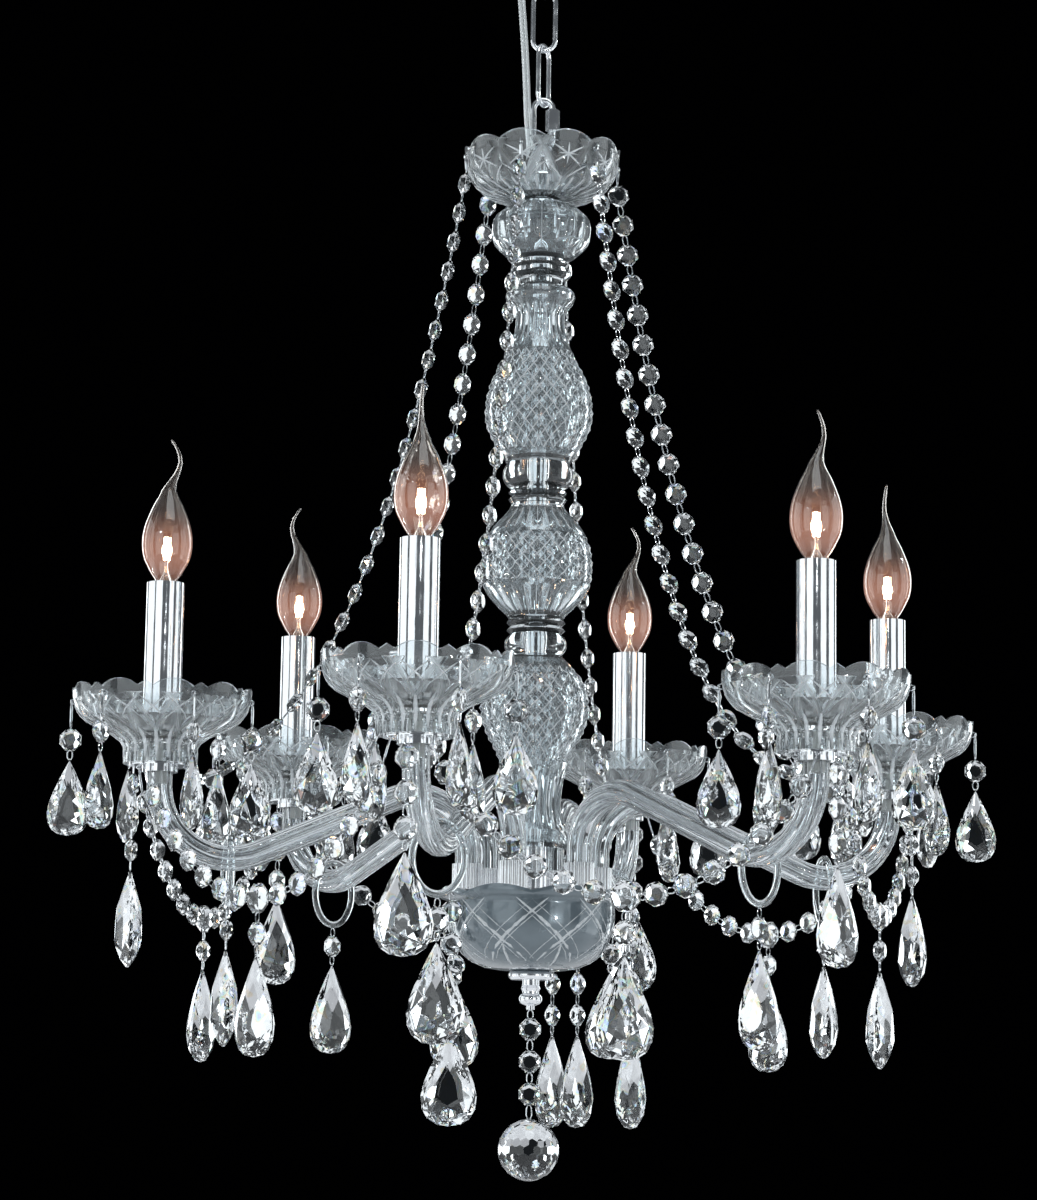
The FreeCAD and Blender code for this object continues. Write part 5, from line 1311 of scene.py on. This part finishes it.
class CadFinishes:
    """Gives the finishes to the CAD solids that stay."""

    chain = (
        "canopy_fittings", "chain_link_upper", "chain_link_middle", "chain_link_lower",
        "quick_link", "quick_link_nut", "stem_loop",
    )
    chrome = (
        "ceiling_canopy", "centre_stem", "stem_spacer", "arm_plate", "bottom_cap", "pin_plates",
        "candle_sleeves",
    )
    collars = ("upper_collar", "middle_collar", "lower_collar")

    def dress(self, node: str, finish: Finish) -> None:
        """Give one CAD node its finish."""
        data = bpy.data.objects[node].data
        data.materials.clear()
        data.materials.append(finish.material())

    def dress_all(self) -> None:
        """Dress every CAD solid that stays."""
        for node in self.chrome:
            self.dress(node, CHROME)
        for node in self.chain:
            self.dress(node, CHAIN_METAL)
        for node in self.collars:
            self.dress(node, CLEAR)
        for lamp in LAMPS:
            self.dress(f"glass_arm_{lamp}", ARM_GLASS)
        self.dress("crown_dish", CROWN_GLASS)
        self.dress("lamp_holders", CeramicFinish())
        for lamp in LAMPS:
            place = lamp_place(lamp)
            place.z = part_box(f"bobeche_{lamp}")[0].z
            self.dress(f"bobeche_{lamp}", CutGlassFinish(f"dish_glass_{lamp}", axis=tuple(place)))
        log.info("CAD solids dressed")


# Bowl, rings, wheel cuts and painted groove highlights


@dataclass
class Bowl:
    """The silvered bowl under the arms, with its waved lip."""

    node: str = "bottom_bowl"
    wall: float = 2.6 * MM
    waves: int = 8
    wave_height: float = 4.4 * MM
    columns: int = 96
    profile: tuple = (
        (12, 0), (22, 0.4), (31, 1.8), (39.5, 5.6), (46, 11), (50.6, 18), (53.4, 26), (54.5, 34),
        (54.5, 41), (54.3, 44), (56, 45.8), (59.4, 47.6), (60.8, 50), (60.2, 53.4),
    )

    def build(self) -> bpy.types.Object:
        """Turn the bowl, wave its lip and stand it in for the CAD's bowl.

        Returns:
            The bowl.
        """
        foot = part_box(self.node)[0].z
        outer = [Vector((r * MM, 0, z * MM)) for r, z in self.profile]
        inner = [point - self.normal(outer, place) * self.wall for place, point in enumerate(outer)]
        mesh = bmesh.new()
        ring = [mesh.verts.new(point) for point in (*outer, *reversed(inner))]
        edges = [mesh.edges.new(pair) for pair in zip(ring, ring[1:] + ring[:1])]
        bmesh.ops.spin(
            mesh, geom=[*ring, *edges], cent=(0, 0, 0), axis=(0, 0, 1), angle=2 * math.pi,
            steps=self.columns, use_merge=True,
        )
        bmesh.ops.remove_doubles(mesh, verts=mesh.verts, dist=1e-6)
        lip = outer[-1].z
        for vert in mesh.verts:
            share = max(0.0, (vert.co.z - lip + 9 * MM) / (9 * MM))
            turn = math.atan2(vert.co.y, vert.co.x)
            wave = abs(math.sin(turn * self.waves / 2)) - 1
            vert.co.z += wave * self.wave_height * share
        bmesh.ops.recalc_face_normals(mesh, faces=mesh.faces)
        bmesh.ops.translate(mesh, verts=mesh.verts, vec=(0, 0, foot))
        made = to_object("bowl_glass", mesh, SilveredFinish(), 50)
        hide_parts(self.node)
        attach(made, "chandelier")
        return made

    def normal(self, outline: list[Vector], place: int) -> Vector:
        """The way out of the outline at one of its points."""
        before, after = outline[max(place - 1, 0)], outline[min(place + 1, len(outline) - 1)]
        along = (after - before).normalized()
        return Vector((along.z, 0, -along.x))


@dataclass
class GlassRings:
    """The oval glass rings that hang on the arms."""

    node: str = "arm_rings"
    circle: float = 202 * MM
    half_width: float = 16.6 * MM
    wire: float = 2.3 * MM
    steps: int = 48
    sides: int = 12

    def middle_line(self, step: int) -> tuple[float, float]:
        """A point on the ring's middle line: its reach across, and its share of the height."""
        turn = 2 * math.pi * step / self.steps
        return math.sin(turn), (1 - math.cos(turn)) / 2

    def build(self) -> bpy.types.Object:
        """Bend the six rings and stand them in for the CAD's.

        Returns:
            The rings as one object.
        """
        low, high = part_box(self.node)
        tall = high.z - low.z - 2 * self.wire
        mesh = bmesh.new()
        for lamp in LAMPS:
            centre = lamp_place(lamp, self.circle)
            out = centre.normalized()
            side = Vector((-out.y, out.x, 0))
            line = []
            for step in range(self.steps):
                across, rise = self.middle_line(step)
                point = centre + side * (across * self.half_width)
                line.append(point + Vector((0, 0, low.z + self.wire + rise * tall)))
            rings = []
            for place, point in enumerate(line):
                along = (line[(place + 1) % self.steps] - line[place - 1]).normalized()
                flat = out.cross(along)
                turns = [2 * math.pi * k / self.sides for k in range(self.sides)]
                rings.append([
                    mesh.verts.new(point + (out * math.cos(t) + flat * math.sin(t)) * self.wire)
                    for t in turns
                ])
            for here, there in zip(rings, rings[1:] + rings[:1]):
                for k in range(self.sides):
                    after = (k + 1) % self.sides
                    mesh.faces.new((here[k], here[after], there[after], there[k]))
        bmesh.ops.recalc_face_normals(mesh, faces=mesh.faces)
        made = to_object("arm_ring_glass", mesh, CLEAR, 60)
        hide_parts(self.node)
        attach(made, "chandelier")
        return made


@dataclass
class WheelCuts:
    """Lens-shaped wheel cuts, laid on the outside of a glass piece round an upright axis; the same strips
    also make the painted highlights in the column's grooves.
    """

    piece: bpy.types.Object
    name: str
    axis: Vector = field(default_factory=Vector)
    depth: float = 0.35 * MM
    steps: int = 6
    taper: float = 0.6
    body: str = "chandelier"

    def __post_init__(self) -> None:
        """Take the piece's surface, and its lowest and highest points."""
        source = bmesh.new()
        source.from_mesh(self.piece.data)
        self.surface = BVHTree.FromBMesh(source)
        heights = [vert.co.z for vert in source.verts]
        self.low, self.high = min(heights), max(heights)
        source.free()
        self.mesh = bmesh.new()

    def touch(self, turn: float, share: float) -> tuple[Vector, Vector] | None:
        """The outer surface's point and normal at an angle and a share of the height."""
        height = self.low + share * (self.high - self.low)
        out = Vector((math.cos(turn), math.sin(turn), 0))
        start = Vector((self.axis.x, self.axis.y, height)) + out * 0.12
        found = self.surface.ray_cast(start, -out)
        if found[0] is None or (found[0] - start).length > 0.118:
            return None
        return found[0], found[1]

    def stroke(self, start: tuple[float, float], end: tuple[float, float], width: float) -> None:
        """Add one cut between two places, each an angle in degrees and a share of the height."""
        found = []
        for step in range(self.steps + 1):
            share = step / self.steps
            turn, height = (a + (b - a) * share for a, b in zip(start, end))
            touched = self.touch(math.radians(turn), height)
            if touched:
                found.append((*touched, max(4 * share * (1 - share), 0.01) ** self.taper))
        if len(found) < 4:
            return
        rows = []
        for place, (point, normal, wide) in enumerate(found):
            after = found[min(place + 1, len(found) - 1)][0]
            along = (after - found[max(place - 1, 0)][0]).normalized()
            if normal.dot(point - Vector((self.axis.x, self.axis.y, point.z))) < 0:
                normal = -normal
            side = normal.cross(along).normalized() * (max(wide, 0.06) * width)
            rise = normal * (self.depth * max(wide, 0.1))
            corners = (point + side - rise * 0.3, point + rise, point - side - rise * 0.3)
            rows.append([self.mesh.verts.new(corner) for corner in (*corners, point - rise * 1.5)])
        for here, there in zip(rows, rows[1:]):
            for k in range(4):
                after = (k + 1) % 4
                self.mesh.faces.new((here[k], here[after], there[after], there[k]))
        self.mesh.faces.new(rows[0])
        self.mesh.faces.new(reversed(rows[-1]))

    def finish(self) -> bpy.types.Object:
        """Make the cuts an object.

        Returns:
            The object.
        """
        bmesh.ops.recalc_face_normals(self.mesh, faces=self.mesh.faces)
        made = to_object(self.name, self.mesh, CUT_AND_HIGHLIGHT_GLASS)
        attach(made, self.body)
        return made


def paint_arm_highlights(lamp: int) -> None:
    """Lay a strip of milky glass in each groove between the ribs of a glass arm: a painted highlight along
    the groove.
    """
    source, lines = bmesh.new(), bmesh.new()
    source.from_mesh(bpy.data.objects[f"glass_arm_{lamp}"].data)
    bmesh.ops.remove_doubles(source, verts=source.verts, dist=1e-6)
    for edge in source.edges:
        if len(edge.link_faces) != 2 or edge.calc_face_angle_signed(0) > GROOVE_ANGLE:
            continue
        if edge.calc_length() < SHORTEST_GROOVE:
            continue
        start, end = (vert.co for vert in edge.verts)
        along = (end - start).normalized()
        rise = sum((face.normal for face in edge.link_faces), Vector()).normalized()
        side = rise.cross(along) * GROOVE_HIGHLIGHT
        rise *= GROOVE_HIGHLIGHT
        corners = (side, rise * 1.6, -side, -rise)
        rows = [[lines.verts.new(point + c) for c in corners] for point in (start, end)]
        for k in range(4):
            after = (k + 1) % 4
            lines.faces.new((rows[0][k], rows[0][after], rows[1][after], rows[1][k]))
        lines.faces.new(rows[0])
        lines.faces.new(reversed(rows[1]))
    source.free()
    bmesh.ops.recalc_face_normals(lines, faces=lines.faces)
    log.info("arm %d: %d line faces", lamp, len(lines.faces))
    # the strips are painted highlights, in the milky glass of the wheel cuts
    made = to_object(f"arm_painted_highlights_{lamp}", lines, CUT_AND_HIGHLIGHT_GLASS)
    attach(made, "chandelier")


def cut_bowl(bowl: bpy.types.Object) -> None:
    """Cut the bowl with wide crossing slants, each between two fine lines."""
    cuts = WheelCuts(bowl, "bowl_cuts", steps=10)
    for turn in range(0, 360, 45):
        for lean in (-1, 1):
            cuts.stroke((turn, 0.02), (turn + lean * 56, 0.84), 1.5 * MM)
            for beside in (-6.5, 6.5):
                start = turn + beside
                cuts.stroke((start, 0.05), (start + lean * 52, 0.82), 0.5 * MM)
        cuts.stroke((turn + 22.5, 0.02), (turn + 22.5, 0.3), 1.1 * MM)
    cuts.finish()


def cut_crown() -> None:
    """Cut a star in each petal of the crown, arches under them and leaves round its foot."""
    cuts = WheelCuts(bpy.data.objects["crown_dish"], "crown_cuts")
    for petal in range(10):
        middle = CROWN_TURN + 36 * petal
        for lean in (-1, 1):
            cuts.stroke((middle - 14 * lean, 0.34), (middle + 14 * lean, 0.74), 0.75 * MM)
            cuts.stroke((middle - 18 * lean, 0.4), (middle, 0.12), 0.8 * MM)
        cuts.stroke((middle, 0.36), (middle, 0.76), 0.65 * MM)
        cuts.stroke((middle - 8, 0.55), (middle + 8, 0.55), 0.5 * MM)
    for leaf in range(30):
        cuts.stroke((12 * leaf, 0.03), (12 * leaf, 0.2), 1.1 * MM)
    cuts.finish()


def cut_dish(lamp: int) -> None:
    """Cut a drip dish: leaves on its cup, and crosses under its lip."""
    cuts = WheelCuts(
        bpy.data.objects[f"bobeche_{lamp}"], f"dish_cuts_{lamp}", lamp_place(lamp), steps=5
    )
    for leaf in range(20):
        cuts.stroke((18 * leaf, 0.04), (18 * leaf, 0.46), 1.3 * MM)
        for lean in (-1, 1):
            cuts.stroke((18 * leaf - 9 * lean, 0.5), (18 * leaf + 9 * lean, 0.78), 0.7 * MM)
    cuts.finish()


# Studio


@dataclass
class Studio:
    """Camera, lamps, floor and backdrop."""

    camera_place: tuple[float, float, float] = (-0.0118, -2.150, -0.8558)
    pitch: float = 9.0
    roll: float = 0.86
    lens: float = 97.77
    floor_height: float = -1.35
    floor_radius: float = 2.6

    def camera(self) -> None:
        """Stand the camera where the photograph was taken from."""
        data = bpy.data.cameras.new("photo_camera")
        data.lens, data.sensor_width = self.lens, 36
        data.clip_start, data.clip_end = 0.05, 50
        camera = bpy.data.objects.new("photo_camera", data)
        turn = Matrix.Rotation(math.radians(90 + self.pitch), 4, "X")
        roll = Matrix.Rotation(math.radians(self.roll), 4, "Z")
        camera.matrix_world = Matrix.Translation(self.camera_place) @ turn @ roll
        bpy.context.scene.collection.objects.link(camera)
        bpy.context.scene.camera = camera

    def softbox(
        self, name: str, place: tuple, size: tuple, power: float, target: tuple = (0, 0, -0.55)
    ) -> None:
        """Hang a soft rectangular lamp that faces the chandelier.

        Args:
            name: The lamp's name.
            place: Where it hangs, in metres.
            size: Its width and height.
            power: Its power in watts.
            target: The point that it faces.
        """
        data = bpy.data.lights.new(name, "AREA")
        data.shape, data.size, data.size_y, data.energy = "RECTANGLE", *size, power
        data.color = (0.92, 0.975, 1.0)
        lamp = bpy.data.objects.new(name, data)
        aim = (Vector(target) - Vector(place)).to_track_quat("-Z", "Y").to_matrix().to_4x4()
        lamp.matrix_world = Matrix.Translation(place) @ aim
        lamp.visible_camera = False
        bpy.context.scene.collection.objects.link(lamp)

    def lamps(self) -> None:
        """Light both sides, the top and the back, so that the glass edges shine."""
        self.softbox("left_front", (-1.3, -1.75, -0.6), (1.5, 1.9), 10.5)
        self.softbox("right_front", (1.3, -1.6, -0.6), (1.1, 1.9), 7.4)
        self.softbox("left_side", (-1.6, 0.0, -0.5), (1.5, 1.7), 9)
        self.softbox("right_side", (1.6, 0.0, -0.5), (1.2, 1.7), 7.4)
        self.softbox("left_back", (-1.1, 1.3, -0.4), (0.4, 1.5), 6)
        self.softbox("right_back", (1.1, 1.3, -0.4), (0.4, 1.5), 6)
        self.softbox("top", (0.1, -0.6, 0.8), (1.0, 1.0), 7.5)
        for number, place in enumerate(
            ((-0.9, -1.3, 0.1), (0.8, -1.2, -0.95), (0.15, -1.9, -0.15), (1.3, 0.2, 0.2), (-1.3, 0.4, -1.0))
        ):
            self.softbox(f"glint_{number}", place, (0.07, 0.07), 1.6)

    def floor(self) -> None:
        """Lay the pale floor under the chandelier."""
        mesh = bmesh.new()
        bmesh.ops.create_circle(mesh, segments=96, radius=self.floor_radius, cap_ends=True)
        bmesh.ops.translate(mesh, verts=mesh.verts, vec=(0, 0, self.floor_height))
        to_object("floor", mesh, FloorFinish())

    def backdrop(self) -> None:
        """A dark backdrop, a dim room that metal and glass mirror, and soft light for the rest."""
        world = bpy.data.worlds.new("studio")
        world.use_nodes = True
        bpy.context.scene.world = world
        graph = Graph(world.node_tree)
        ground = world.node_tree.nodes["Background"]
        rays = graph.node("ShaderNodeLightPath").outputs
        color = (0.55, 0.56, 0.58, 1)
        for ray, seen in (
            ("Is Glossy Ray", (0.11, 0.12, 0.13, 1)),
            ("Is Transmission Ray", (0.003, 0.004, 0.005, 1)),
            ("Is Camera Ray", (0.0002, 0.0002, 0.0003, 1)),
        ):
            mix = graph.node(
                "ShaderNodeMix", {"Factor": rays[ray], 6: color, 7: seen}, data_type="RGBA"
            )
            color = mix.outputs[2]
        graph.tree.links.new(color, ground.inputs["Color"])

    def build(self) -> None:
        """Set the studio up."""
        bpy.context.scene.view_settings.view_transform = "Standard"
        self.camera()
        self.lamps()
        self.floor()
        self.backdrop()
        log.info("studio")


def main() -> None:
    """Build the chandelier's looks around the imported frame."""
    logging.basicConfig(level=logging.INFO, format="%(message)s")
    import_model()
    Studio().build()
    SupplyFlex().build()
    CadFinishes().dress_all()
    Column().build()
    cut_bowl(Bowl().build())
    GlassRings().build()
    cut_crown()
    for lamp in LAMPS:
        cut_dish(lamp)
        paint_arm_highlights(lamp)
    chains = CrystalChains()
    for node in ("bead_strands", "dish_drops", "hanging_drops"):
        chains.build(node, "chandelier")
    for node in ("ball_strand", *(f"{kind}_drop_{lamp}" for kind in ("lamp", "arm") for lamp in LAMPS)):
        chains.build(node, node)
    for lamp in LAMPS:
        Bulb(lamp).build()


if __name__ == "__main__":
    main()
